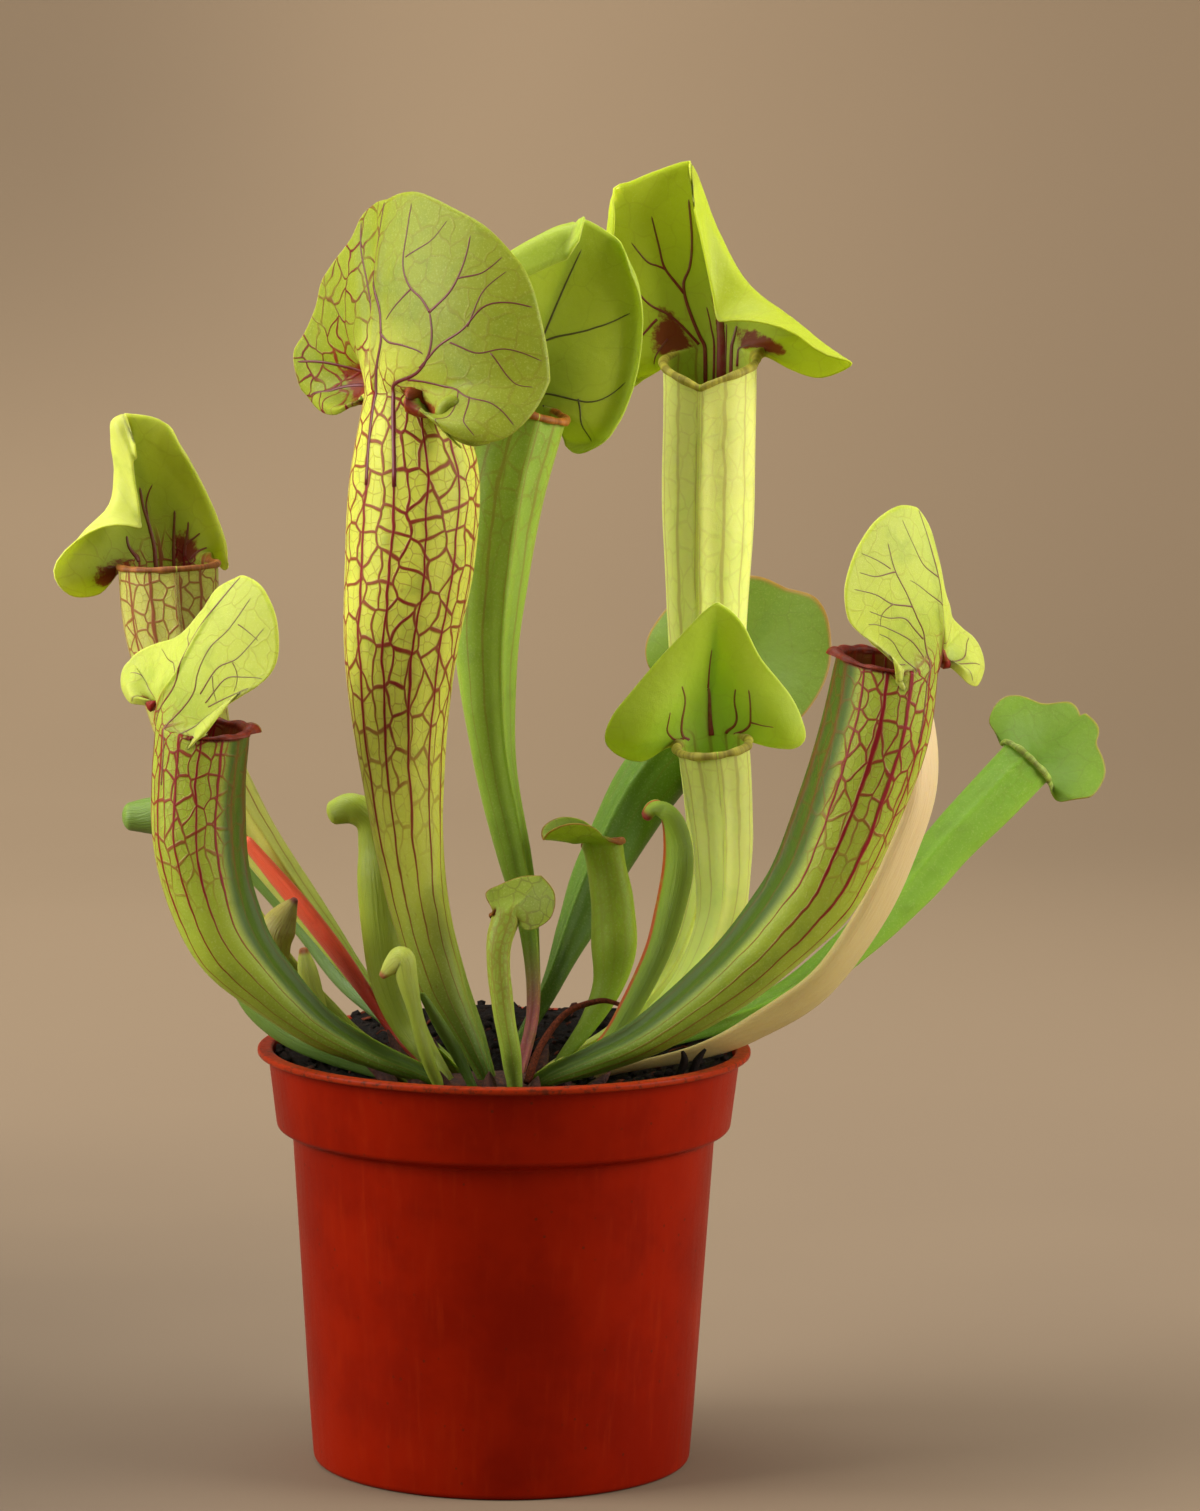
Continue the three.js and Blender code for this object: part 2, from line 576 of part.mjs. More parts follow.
function ellipsoid(centre, half, grow) {
  const rows = 10;
  const sides = 20;
  const rings = [];
  for (let row = 1; row < rows; row += 1) {
    const lift = -Math.cos((Math.PI * row) / rows);
    const wide = Math.sin((Math.PI * row) / rows);
    rings.push(Array.from({ length: sides }, (_, k) => {
      const turn = (2 * Math.PI * k) / sides;
      const knob = 1 + 0.06 * Math.sin(3 * turn + row) + 0.04 * Math.cos(5 * turn);
      return new THREE.Vector3(
        centre[0] + (half[0] * knob + grow) * wide * Math.cos(turn),
        centre[1] + (half[1] * knob + grow) * wide * Math.sin(turn),
        centre[2] + (half[2] + grow) * lift,
      );
    }));
  }
  return stackRings(rings);
}

// The pot's wall radius, outside, at a height.
function potRadius(z) {
  return blend(POT_BASE_RADIUS, POT_NECK_RADIUS, z / POT_STEP_HEIGHT);
}

function potSolid() {
  const inner = (radius) => radius - POT_WALL;
  const profile = [
    [0, 0], [POT_BASE_RADIUS - POT_BASE_ROUND, 0], [potRadius(0) - 0.8, 0.9], [potRadius(3), 3],
    [potRadius(42), 42], [POT_NECK_RADIUS, POT_STEP_HEIGHT - 0.6], [POT_STEP_RADIUS, POT_STEP_HEIGHT],
    [POT_COLLAR_LOW_RADIUS - 0.5, POT_STEP_HEIGHT + 1],
    [POT_COLLAR_LOW_RADIUS, POT_STEP_HEIGHT + POT_COLLAR_ROUND],
    [POT_COLLAR_TOP_RADIUS, POT_HEIGHT - POT_LIP_THICK - 0.8],
    [POT_RIM_RADIUS - 0.5, POT_HEIGHT - POT_LIP_THICK],
    [POT_RIM_RADIUS, POT_HEIGHT - POT_LIP_THICK / 2], [POT_RIM_RADIUS - 0.5, POT_HEIGHT - 0.2],
    [POT_COLLAR_TOP_RADIUS + 0.3, POT_HEIGHT], [inner(POT_COLLAR_TOP_RADIUS), POT_HEIGHT - 1],
    [inner(POT_COLLAR_LOW_RADIUS), POT_STEP_HEIGHT + POT_COLLAR_ROUND],
    [inner(POT_NECK_RADIUS), POT_STEP_HEIGHT - 1],
    [inner(potRadius(5)), 5], [inner(potRadius(0)) - 2.4, POT_FLOOR], [0, POT_FLOOR],
  ];
  const lathe = new THREE.LatheGeometry(profile.map(([r, z]) => new THREE.Vector2(r, z)), POT_SIDES);
  let pot = lathedSolid(lathe);
  for (let k = 0; k < DRAIN_HOLES; k += 1) {
    const turn = (2 * Math.PI * (k + 0.5)) / DRAIN_HOLES;
    const centre = [DRAIN_CIRCLE * Math.cos(turn), DRAIN_CIRCLE * Math.sin(turn)];
    const ring = (z) => Array.from({ length: DRAIN_SIDES }, (_, i) => {
      const way = (2 * Math.PI * i) / DRAIN_SIDES;
      return new THREE.Vector3(
        centre[0] + DRAIN_RADIUS * Math.cos(way),
        centre[1] + DRAIN_RADIUS * Math.sin(way),
        z,
      );
    });
    pot = pot.subtract(stackRings([ring(-1), ring(POT_FLOOR + 1)]));
  }
  return pot;
}

// A lathe's seam and axis hold doubled points, so equal points are made one.
function lathedSolid(lathe) {
  const place = lathe.attributes.position;
  const seen = new Map();
  const points = [];
  const name = Array.from({ length: place.count }, (_, i) => {
    const p = new THREE.Vector3(place.getX(i), -place.getZ(i), place.getY(i));
    const key = p.toArray().map((v) => Math.round(v * 1e4)).join(' ');
    if (!seen.has(key)) {
      seen.set(key, points.push(p) - 1);
    }
    return seen.get(key);
  });
  const triangles = [];
  const order = lathe.index.array;
  for (let i = 0; i < order.length; i += 3) {
    const [a, b, c] = [name[order[i]], name[order[i + 1]], name[order[i + 2]]];
    if (a !== b && b !== c && a !== c) {
      triangles.push([a, b, c]);
    }
  }
  return makeSolid(points, triangles);
}

// The peat's surface: nearly level with the rim, with a hollow round the crown.
function soilHeight(x, y) {
  const across = (x - SOIL_PIT_CENTRE[0]) / SOIL_PIT_REACH[0];
  const back = (y - SOIL_PIT_CENTRE[1]) / SOIL_PIT_REACH[1];
  const waves = [Math.sin(x * 0.31 + y * 0.17), Math.sin(y * 0.37 - x * 0.23), Math.cos(x * 0.11 + y * 0.41)];
  const ripple = waves[0] + waves[1] + waves[2];
  return SOIL_LEVEL - SOIL_PIT_DEPTH * Math.exp(-across * across - back * back) + SOIL_RIPPLE * ripple;
}

function soilSolid() {
  const wall = (z) => {
    const collar = blend(POT_COLLAR_LOW_RADIUS, POT_COLLAR_TOP_RADIUS, (z - POT_STEP_HEIGHT) / 18);
    return (z > POT_STEP_HEIGHT + 2 ? collar : potRadius(z)) - POT_WALL - GAP - 0.2;
  };
  const ring = (radius, height) => Array.from({ length: SOIL_SIDES }, (_, k) => {
    const turn = (2 * Math.PI * k) / SOIL_SIDES;
    const [x, y] = [radius * Math.cos(turn), radius * Math.sin(turn)];
    return new THREE.Vector3(x, y, height ?? soilHeight(x, y));
  });
  const low = POT_FLOOR + GAP;
  const rings = [
    ring(wall(0) - 2.8, low), ring(wall(5) - 0.2, 5.6), ring(wall(POT_STEP_HEIGHT - 2), POT_STEP_HEIGHT - 1),
    ring(POT_COLLAR_LOW_RADIUS - POT_WALL - GAP - 0.3, POT_STEP_HEIGHT + POT_COLLAR_ROUND + 0.6),
  ];
  const edge = wall(POT_HEIGHT - 4);
  for (let k = 0; k < SOIL_RINGS; k += 1) {
    rings.push(ring(edge * (1 - k / SOIL_RINGS)));
  }
  return stackRings(rings);
}

const plant = new THREE.Group();

function addPiece(name, solid, tint, roughness) {
  const material = new THREE.MeshStandardMaterial({ color: COLOURS[tint], roughness, metalness: 0 });
  const mesh = new THREE.Mesh(toGeometry(solid), material);
  mesh.name = name;
  plant.add(mesh);
}

const crown = ellipsoid(CROWN_CENTRE, CROWN_HALF, 0);
const crownRoom = ellipsoid(CROWN_CENTRE, CROWN_HALF, GAP);
const leaves = LEAVES.map(prepare);
const rooms = leaves.map((leaf) => tubeSolid(leaf, GAP));

addPiece('pot', potSolid(), 'pot', 0.35);
addPiece('rhizome', crown, 'crown', 0.8);

let soil = soilSolid().subtract(crownRoom);
rooms.forEach((room) => {
  soil = soil.subtract(room);
});
addPiece('soil', largest(soil), 'peat', 0.95);

leaves.forEach((leaf, i) => {
  let body = tubeSolid(leaf, 0).subtract(crownRoom);
  if (leaf.hood) {
    body = body.subtract(cavitySolid(leaf)).add(hoodSolid(leaf));
  }
  for (let j = 0; j < i; j += 1) {
    body = body.subtract(rooms[j]);
  }
  addPiece(leaf.name, largest(body), leaf.tint, 0.45);
});

export default plant;
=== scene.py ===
# %% [markdown]
# # A trumpet pitcher plant in a plastic pot
#
# This lesson dresses a measured model of a young carnivorous pitcher plant. The measured model is
# loaded first and is never moved. Each leaf, the pot and the peat are then built again as finer
# meshes in the same places, and each gets a material made of nodes.

# %% Load the measured model
import math

import bpy
import numpy as np
from mathutils import Matrix, Vector


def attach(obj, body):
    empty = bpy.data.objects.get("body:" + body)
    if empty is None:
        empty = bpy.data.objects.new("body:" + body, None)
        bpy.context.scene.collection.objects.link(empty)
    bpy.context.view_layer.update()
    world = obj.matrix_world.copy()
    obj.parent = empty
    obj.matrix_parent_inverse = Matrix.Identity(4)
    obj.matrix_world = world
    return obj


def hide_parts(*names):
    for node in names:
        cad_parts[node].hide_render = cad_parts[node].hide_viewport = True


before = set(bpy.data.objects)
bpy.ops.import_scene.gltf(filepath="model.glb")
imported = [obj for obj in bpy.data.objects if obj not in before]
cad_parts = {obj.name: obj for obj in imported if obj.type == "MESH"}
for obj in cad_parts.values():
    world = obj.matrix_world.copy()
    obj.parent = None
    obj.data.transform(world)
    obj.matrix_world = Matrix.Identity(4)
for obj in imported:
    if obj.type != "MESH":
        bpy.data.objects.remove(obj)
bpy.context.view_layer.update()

# %% [markdown]
# ## Sizes
#
# The whole plant was measured in millimetres from the middle of the pot's underside, with Z up.
# Working in those millimetres keeps the numbers readable. They turn into Blender's metres only
# when a mesh is made.

# %% Sizes of the pot and the peat
MM = 0.001
POT_RIM_RADIUS = 60.0
POT_HEIGHT = 101.9
POT_WALL = 1.3
POT_BASE_RADIUS = 46.2
POT_STEP_HEIGHT = 81.7
POT_STEP_RADIUS = 52.5
POT_NECK_RADIUS = 51.4
COLLAR_LOW_RADIUS = 55.2
COLLAR_TOP_RADIUS = 57.4
SOIL_LEVEL = 100.6
CROWN_CENTRE = np.array([0.0, -19.0, 91.5])
CROWN_HALF = np.array([29.0, 18.0, 7.0])
ROOT_DEPTH = 92.5
ROOT_PULL = 0.25
LEAF_WALL = 1.1
LOOK_UP = 0.35


# %% [markdown]
# ## A mesh from a grid of points
#
# Nearly every piece here is a skin stretched over rows of points, so one helper turns rows into a
# mesh. The rows close on themselves, as the hoops of a basket do. A middle point closes each end,
# which keeps the mesh watertight. Numbers that a material needs later, such as how far a point is
# from the mouth of a pitcher, are stored on the points as attributes.

# %% Mesh helpers
def build_mesh(name, points_mm, faces, attributes=None):
    """A mesh object from points in millimetres, with named numbers on its points."""
    mesh = bpy.data.meshes.new(name)
    mesh.from_pydata((np.asarray(points_mm) * MM).tolist(), [], faces)
    mesh.update()
    for label, values in (attributes or {}).items():
        values = np.asarray(values, np.float32)
        if values.ndim == 1:
            mesh.attributes.new(label, "FLOAT", "POINT").data.foreach_set("value", values)
        else:
            mesh.attributes.new(label, "FLOAT_VECTOR", "POINT").data.foreach_set("vector", values.ravel())
    mesh.polygons.foreach_set("use_smooth", [True] * len(mesh.polygons))
    piece = bpy.data.objects.new(name, mesh)
    bpy.context.scene.collection.objects.link(piece)
    return piece


def ring_faces(rows, around, first=0, caps=True):
    """Faces of rows that close on themselves. Two more points close the ends, in that order."""
    faces = []
    for row in range(rows - 1):
        for k in range(around):
            a = first + row * around + k
            b = first + row * around + (k + 1) % around
            faces.append((a, b, b + around, a + around))
    if caps:
        start, end = first + rows * around, first + rows * around + 1
        last = first + (rows - 1) * around
        for k in range(around):
            m = (k + 1) % around
            faces.append((first + m, first + k, start))
            faces.append((last + k, last + m, end))
    return faces


def shifted(faces, by):
    """The same faces for points that follow a number of others."""
    return [tuple(corner + by for corner in face) for face in faces]


def grid_points(grid):
    """The points of a grid of columns, row by row, and a middle point for each end."""
    ends = [grid[:, 0].mean(axis=0)[None], grid[:, -1].mean(axis=0)[None]]
    return np.concatenate([grid.transpose(1, 0, 2).reshape(-1, 3), *ends])


def on_points(shape, *values):
    """Numbers for every point of a grid of rows, and for the two middle points."""
    flat = [np.broadcast_to(value, shape).reshape(-1) for value in values]
    return np.stack([np.concatenate([f, f[:1], f[-1:]]) for f in flat], axis=1)


def face_outward(piece):
    """Turns the faces outward when the mesh came out inside out."""
    mesh = piece.data
    mesh.calc_loop_triangles()
    corners = np.array([t.vertices[:] for t in mesh.loop_triangles])
    points = np.array([v.co[:] for v in mesh.vertices])
    a, b, c = points[corners[:, 0]], points[corners[:, 1]], points[corners[:, 2]]
    if np.einsum("ij,ij->i", a, np.cross(b, c)).sum() < 0:
        mesh.flip_normals()
    return piece


def finish_piece(piece, node, material, vein_material=None):
    """Every piece rides on the plant's one body and stands for its measured node."""
    if vein_material:
        piece.data.materials[0] = material
        piece.data.materials[1] = vein_material
    else:
        piece.data.materials.append(material)
    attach(piece, "root")
    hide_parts(node)
    print(piece.name, len(piece.data.polygons), "faces")


# %% [markdown]
# ## How a pitcher is shaped
#
# A pitcher is a leaf rolled into a tube. Its spine runs from the crown to the mouth, with a wing
# down its front seam. At the mouth, the front and sides curl over into a lip, and the back goes on
# up as a neck that spreads into a hood. So the whole leaf can be one grid: round the tube one way,
# and from the crown, over the lip or the hood's edge and back down the inside, the other way.
#
# A smooth line through a few listed stations gives the spine and the width of the tube.

# %% Smooth lines and blends
def ease(low, high, value):
    """0 below low, 1 above high, smooth between."""
    f = np.clip((np.asarray(value, float) - low) / (high - low), 0, 1)
    return f * f * (3 - 2 * f)


def mix(a, b, f):
    return a + (b - a) * f


def smooth_line(stations, t):
    """Points of a smooth line through the stations, for t from 0 to 1."""
    stations = np.asarray(stations, float)
    last = len(stations) - 1
    place = np.clip(np.asarray(t, float), 0, 1) * last
    i = np.minimum(place.astype(int), last - 1)
    f = (place - i)[..., None]
    p, q, r, s = (stations[np.clip(i + k, 0, last)] for k in (-1, 0, 1, 2))
    bow = 2 * p - 5 * q + 4 * r - s
    sway = 3 * q - p - 3 * r + s
    return 0.5 * (2 * q + (r - p) * f + bow * f**2 + sway * f**3)


def unit(v):
    return v / np.maximum(np.linalg.norm(v, axis=-1, keepdims=True), 1e-9)


def across(v, axis):
    """The part of v at right angles to axis, made one long."""
    return unit(v - np.sum(v * axis, axis=-1, keepdims=True) * axis)


# %% [markdown]
# The tube's skin is found from the spine: a place along it, an angle round it counted from the
# front seam, and how much to grow or shrink. The mouth can rise toward the back, and the front
# seam stands out as a thin wing.

# %% The tube's skin
class Leaf:
    """One leaf's shape, with the spine run down into the crown."""

    def __init__(self, name, facing, spine, depth=0.95, wing=0.0, wall=LEAF_WALL, flutes=0.0, bumps=0.0,
                 seed=0, vee=0.0, slant=0.0):
        x, y, _, half = spine[0]
        root = [mix(x, CROWN_CENTRE[0], ROOT_PULL), mix(y, CROWN_CENTRE[1], ROOT_PULL), ROOT_DEPTH, half]
        self.name = name
        self.facing = math.radians(facing)
        self.line = np.array([root, *spine], float)
        self.depth, self.wing, self.wall = depth, wing, wall
        self.flutes, self.bumps, self.seed = flutes, bumps, seed
        self.rise, self.vee, self.slant = 0.0, vee, slant
        self.length = np.linalg.norm(np.diff(self.line[:, :3], axis=0), axis=1).sum()
        self.top = self.line[-1, 3]

    def frame(self, t):
        """Centre, half width, and the directions up the tube, to its front and to its side."""
        step = 0.02
        here = smooth_line(self.line, t)
        ahead = smooth_line(self.line, np.minimum(t + step, 1))
        behind = smooth_line(self.line, np.maximum(t - step, 0))
        up = unit((ahead - behind)[..., :3])
        look = np.array([math.cos(self.facing), math.sin(self.facing), LOOK_UP])
        front = across(np.broadcast_to(look, up.shape), up)
        return here[..., :3], here[..., 3], up, front, np.cross(up, front)

    def skin(self, t, turn, grow=0.0, lift=0.0):
        """Points on the skin at angle turn from the front seam, in radians, from -pi to pi."""
        t, turn = np.broadcast_arrays(np.asarray(t, float), np.asarray(turn, float))
        centre, half, up, front, side = self.frame(t)
        ends = np.sqrt(np.clip(np.sin(math.pi * mix(0.03, 0.97, t)), 0, 1))
        seam = self.wing * ends * np.exp(-((turn / 0.2) ** 2)) * (np.asarray(grow) >= -0.05)
        rise = self.rise * (1 - np.cos(turn)) / 2 - self.vee * np.exp(-np.abs(turn) / 0.6)
        rise = (rise - self.slant * np.sin(turn)) * ease(0.85, 1, t)
        fluted = 1 + self.flutes * np.cos(turn * 9) * ease(0.02, 0.2, t) * ease(1.02, 0.85, t)
        waves = np.sin(turn * 2 + t * 23 + self.seed) + np.sin(turn * 3 - t * 31 + 2 * self.seed)
        lumpy = self.bumps * waves / 2
        reach = np.maximum(half * fluted + lumpy * ends + grow, 0.25)
        return (
            centre
            + side * (reach * np.sin(turn))[..., None]
            + front * (reach * self.depth * np.cos(turn) + seam)[..., None]
            + up * (rise + lift)[..., None]
        )


# %% [markdown]
# The hood is a fan-shaped sheet that starts at the back of the mouth. Each half has its own
# outline, as side and up distances from the neck. The sheet leans and bends forward over the
# mouth, each half swings forward and then rolls back, and the edge can curl tightly, which makes
# the snail-like lobes of some hoods.

# %% The hood's sheet
class Hood:
    """The shape of a hood, with angles in degrees.

    left is the leaf's own left half as its mouth looks out."""

    def __init__(self, facing, tilt, lean, bend, cup, left_roll, right_roll, left, right,
                 right_cup=None, droop=30, left_swells=(), right_swells=(), left_fold=None, right_fold=None,
                 ripple=0.0, keel=0.6):
        self.facing, self.tilt, self.lean, self.bend = facing, tilt, lean, bend
        self.cups = {1: cup, -1: right_cup or cup}
        self.rolls = {1: left_roll, -1: right_roll}
        self.outline = {1: np.array(left, float), -1: np.array(right, float)}
        self.droop = droop
        self.swells = {1: left_swells, -1: right_swells}
        self.folds = {1: left_fold, -1: right_fold}
        self.ripple, self.keel = ripple, keel

    def axes(self, leaf):
        up = leaf.frame(np.array(1.0))[2]
        turn = math.radians(self.facing)
        front = across(np.array([math.cos(turn), math.sin(turn), LOOK_UP]), up)
        side = np.cross(up, front)
        viewed = 1 if math.sin(turn) >= 0 else -1
        tilt = math.radians(self.tilt)
        up = up * math.cos(tilt) - side * viewed * math.sin(tilt)
        return up, front, np.cross(up, front)

    def sheet(self, leaf, x, y, hand):
        """Points of the sheet, x across from the midrib and y up from the neck, for one half."""
        steps = 24
        up, front, side = self.axes(leaf)
        length = self.outline[1][0, 1]
        point = np.broadcast_to(leaf.skin(1.0, math.pi, -leaf.wall / 2), x.shape + (3,)).copy()
        above = np.maximum(y, 0)
        for k in range(steps):
            run = above / steps
            lean = np.radians(self.lean + self.bend * (k + 0.5) * run / length)[..., None]
            point += (up * np.cos(lean) + front * np.sin(lean)) * run[..., None]
        lean = np.radians(self.lean + self.bend * above / length)[..., None]
        droop = math.radians(self.droop)
        point += (up * math.cos(droop) + front * math.sin(droop)) * np.minimum(y, 0)[..., None]
        inward = front * np.cos(lean) - up * np.sin(lean)
        level = np.clip(y / length, 0, 1)
        swing = np.radians(mix(self.cups[hand][0], self.cups[hand][1], ease(0, 0.8, level)))
        roll = np.radians(mix(self.rolls[hand][0], self.rolls[hand][1], level))
        widest = self.outline[hand][:, 0].max()
        run = np.abs(x) / steps
        for k in range(steps):
            out = (k + 0.5) * run
            turn = (swing * (1 - np.exp(-out / (leaf.top * 0.8))) - roll * (out / widest) ** 2)[..., None]
            point += (side * np.cos(turn) * hand + inward * np.sin(turn)) * run[..., None]
        return point


# %% [markdown]
# A cord is a bent round rod that can taper. It makes stalks and fibres, and the rolled corner of a
# hood.

# %% Round cords
def cord(stations, sides=8, steps=10):
    """Points and faces of a round cord through x, y, z, radius stations, closed at both ends."""
    line = smooth_line(stations, np.linspace(0, 1, steps * (len(stations) - 1) + 1))
    ahead = unit(np.gradient(line[:, :3], axis=0))
    aside = across(np.broadcast_to([0.3, 0.2, 1.0], ahead.shape), ahead)
    other = np.cross(ahead, aside)
    turn = np.linspace(0, 2 * math.pi, sides, endpoint=False)[None, :, None]
    outward = aside[:, None] * np.cos(turn) + other[:, None] * np.sin(turn)
    rings = line[:, None, :3] + outward * line[:, None, 3:]
    points = np.concatenate([rings.reshape(-1, 3), line[:1, :3], line[-1:, :3]])
    return points, ring_faces(len(line), sides)


# %% [markdown]
# One function joins tube, lip and hood. Every column of the grid leaves the rim either as a small
# outward roll, which is the lip, or as a ray of the hood, and the two blend at the sides of the
# neck. The skin has a real thickness that thins toward the hood's edge.

# %% The lip and the hood
def lip_rays(leaf, turn, s, lip):
    """The rolled lip: from the rim up, outward and down, as s goes from 0 to 1."""
    _, _, up, front, side = leaf.frame(np.array(1.0))
    out = unit(side * np.sin(turn)[..., None] + front * np.cos(turn)[..., None])
    size = lip["size"] * (1 + lip.get("flare", 0.0) * np.exp(-((turn / 0.9) ** 2)))
    waves = np.sin(turn * 5 + leaf.seed) + np.sin(turn * 11 + 2 * leaf.seed)
    size = size * (1 + lip.get("uneven", 0.12) * waves)
    sweep = math.radians(lip.get("sweep", 230))
    rim = leaf.skin(1.0, turn, -leaf.wall / 2)
    outward = size * (1 - np.cos(s * sweep))
    upward = size * np.sin(s * sweep)
    return rim + out * outward[..., None] + up * upward[..., None]


def hood_rays(leaf, hood, turn, s, column):
    """The hood: from the rim up the neck and out to the outline, as s goes from 0 to 1."""
    fan = np.clip((math.pi - np.abs(turn)) / column, 0, 1.15)
    hand = np.where(turn >= 0, 1, -1)
    place = np.zeros(fan.shape + (3,))
    for h in (1, -1):
        here = hand == h
        edge = smooth_line(hood.outline[h], np.clip(fan, 0, 1))
        neck_x = fan * column * leaf.top
        x = mix(neck_x, edge[..., 0], s)
        y = edge[..., 1] * s
        y = y + hood.ripple * ease(0.4, 1, s) * np.sin(fan * 17 + h)
        sheet = hood.sheet(leaf, x, y, h)
        place[here] = sheet[here]
    lift = np.maximum(smooth_line(hood.outline[1], np.clip(fan, 0, 1))[..., 1], 4) * s
    neck = leaf.skin(1.0, turn, -leaf.wall / 2, lift)
    place = mix(neck, place, ease(0, 0.4, s)[..., None])
    return swell_and_fold(leaf, hood, place, turn, s, fan)


def swell_and_fold(leaf, hood, place, turn, s, fan):
    """Swells parts of the hood backward by some millimetres, then folds its margins over."""
    normal = sheet_normals(place)
    centre = leaf.frame(np.array(1.0))[0]
    outward = unit(place[:, 0] - centre)
    if np.median(np.sum(normal[:, 1] * outward, axis=-1)[fan[:, 0] < 0.8]) < 0:
        normal = -normal
    amount = np.zeros(fan.shape)
    for h in (1, -1):
        for at_fan, fan_width, at_s, s_width, size in hood.swells[h]:
            bulge = np.exp(-(((fan - at_fan) / fan_width) ** 2) - ((s - at_s) / s_width) ** 2)
            amount += np.where((turn >= 0) == (h > 0), size * bulge * ease(0, 0.12, s), 0)
    if any(hood.swells.values()):
        # Neighbouring bulges of the two halves meet softly on the midrib.
        soft = np.exp(-np.linspace(-2, 2, 9) ** 2)
        amount = np.apply_along_axis(lambda row: np.convolve(row, soft / soft.sum(), "same"), 0, amount)
        place = place + normal * amount[..., None]
    for h in (1, -1):
        if hood.folds[h]:
            place = fold_margin(place, normal, turn, fan, h, **hood.folds[h])
    return place


def fold_margin(place, normal, turn, fan, hand, radius, degrees, flap, fans, start=0.55):
    """Folds the margin over, forward for positive degrees, with a flap that lies flat after the bend.

    fans says where along the edge the fold begins, is full, stops being full and ends."""
    side = (turn[:, 0] >= 0) == (hand > 0)
    along = fan[:, 0]
    weight = ease(fans[0], fans[1], along) * ease(fans[3], fans[2], along) * side
    toward = -normal * math.copysign(1, degrees)
    first = int(place.shape[1] * start)
    sweep = math.radians(abs(degrees))
    for k in np.nonzero(weight > 0.001)[0]:
        ray, w = place[k, first:], weight[k]
        steps = np.linalg.norm(np.diff(ray, axis=0), axis=1)
        run = np.concatenate([[0], np.cumsum(steps)])
        size = min(radius, run[-1] * 0.8)
        bend_at = run[-1] - size
        origin = np.array([np.interp(bend_at, run, ray[:, i]) for i in range(3)])
        at = first + int(np.searchsorted(run, bend_at)) - 1
        heading = unit(place[k, at + 1] - place[k, at])
        aside = across(toward[k, at], heading)
        arc = size * mix(1, sweep, w)
        turned = sweep * w
        total = bend_at + arc + flap * w
        for j, length in enumerate(np.linspace(0, total, len(ray))):
            if length <= bend_at:
                place[k, first + j] = [np.interp(length, run, ray[:, i]) for i in range(3)]
                continue
            over = length - bend_at
            on_arc = min(over, arc)
            angle = turned * on_arc / arc
            rate = max(turned / arc, 1e-4)
            flat = max(over - arc, 0)
            out = math.sin(rate * on_arc) / rate + flat * math.cos(angle)
            up = (1 - math.cos(rate * on_arc)) / rate + flat * math.sin(angle)
            place[k, first + j] = origin + heading * out + aside * up
    return place


def sheet_normals(points):
    """The direction straight out of each point of a closed grid of rays."""
    beside = np.roll(points, -1, axis=0) - np.roll(points, 1, axis=0)
    along = np.gradient(points, axis=1)
    return unit(np.cross(beside, along))


def vein_cords(skin, normal, tube_rows, ray_rows, n_neck, veins):
    """Flattened cords that lie on the hood, one for each (width, [(fan, s), ...]).

    fan runs from the midrib to the edge of the neck, below 0 on the right half. s below 0 is on the tube."""
    points, fades, faces = [], [], []
    round_cord = np.radians([0, 45, 90, 135, 180, 270])
    for width, stations in veins:
        line = smooth_line(stations, np.linspace(0, 1, 7 * (len(stations) - 1) + 1))
        column = np.clip(n_neck / 2 * (1 - line[:, 0]), 0, n_neck - 1.01)
        row = np.clip(tube_rows - 1 + line[:, 1] * ray_rows, 0, skin.shape[1] - 1.01)
        c, r = column.astype(int), row.astype(int)
        fc, fr = (column - c)[:, None], (row - r)[:, None]

        def between(grid):
            return mix(mix(grid[c, r], grid[c + 1, r], fc), mix(grid[c, r + 1], grid[c + 1, r + 1], fc), fr)

        middle, raised = between(skin), unit(between(normal))
        ahead = unit(np.gradient(middle, axis=0))
        aside = np.cross(ahead, raised)
        taper = np.linspace(1, 0.5, len(line))[:, None, None]
        taper[-1] = 0.1
        flat = aside[:, None] * (np.cos(round_cord) * width / 2)[None, :, None]
        high = raised[:, None] * (np.sin(round_cord) * (0.05 + 0.12 * width) - 0.02)[None, :, None]
        ring = middle[:, None] + (flat + high) * taper
        first = sum(len(p) for p in points)
        faces += ring_faces(len(line), len(round_cord), first)
        points.append(np.concatenate([ring.reshape(-1, 3), middle[:1], middle[-1:]]))
        fade = np.repeat(np.linspace(0, 0.5, len(line)), len(round_cord))
        fade = fade + np.interp(width, [0.25, 0.7], [0.5, 0])
        fades.append(np.concatenate([fade, fade[:1], fade[-1:]]))
    return np.concatenate(points), np.concatenate(fades), faces


# %% [markdown]
# The material needs to know where each point lies on the leaf. So every point stores its lane round
# the leaf, the width of a lane, its place along and across the hood, its distances on the flat
# sheet for the fine net, and which side of the skin it is on.

# %% What the leaf's material reads
CURL_SIDES = 28


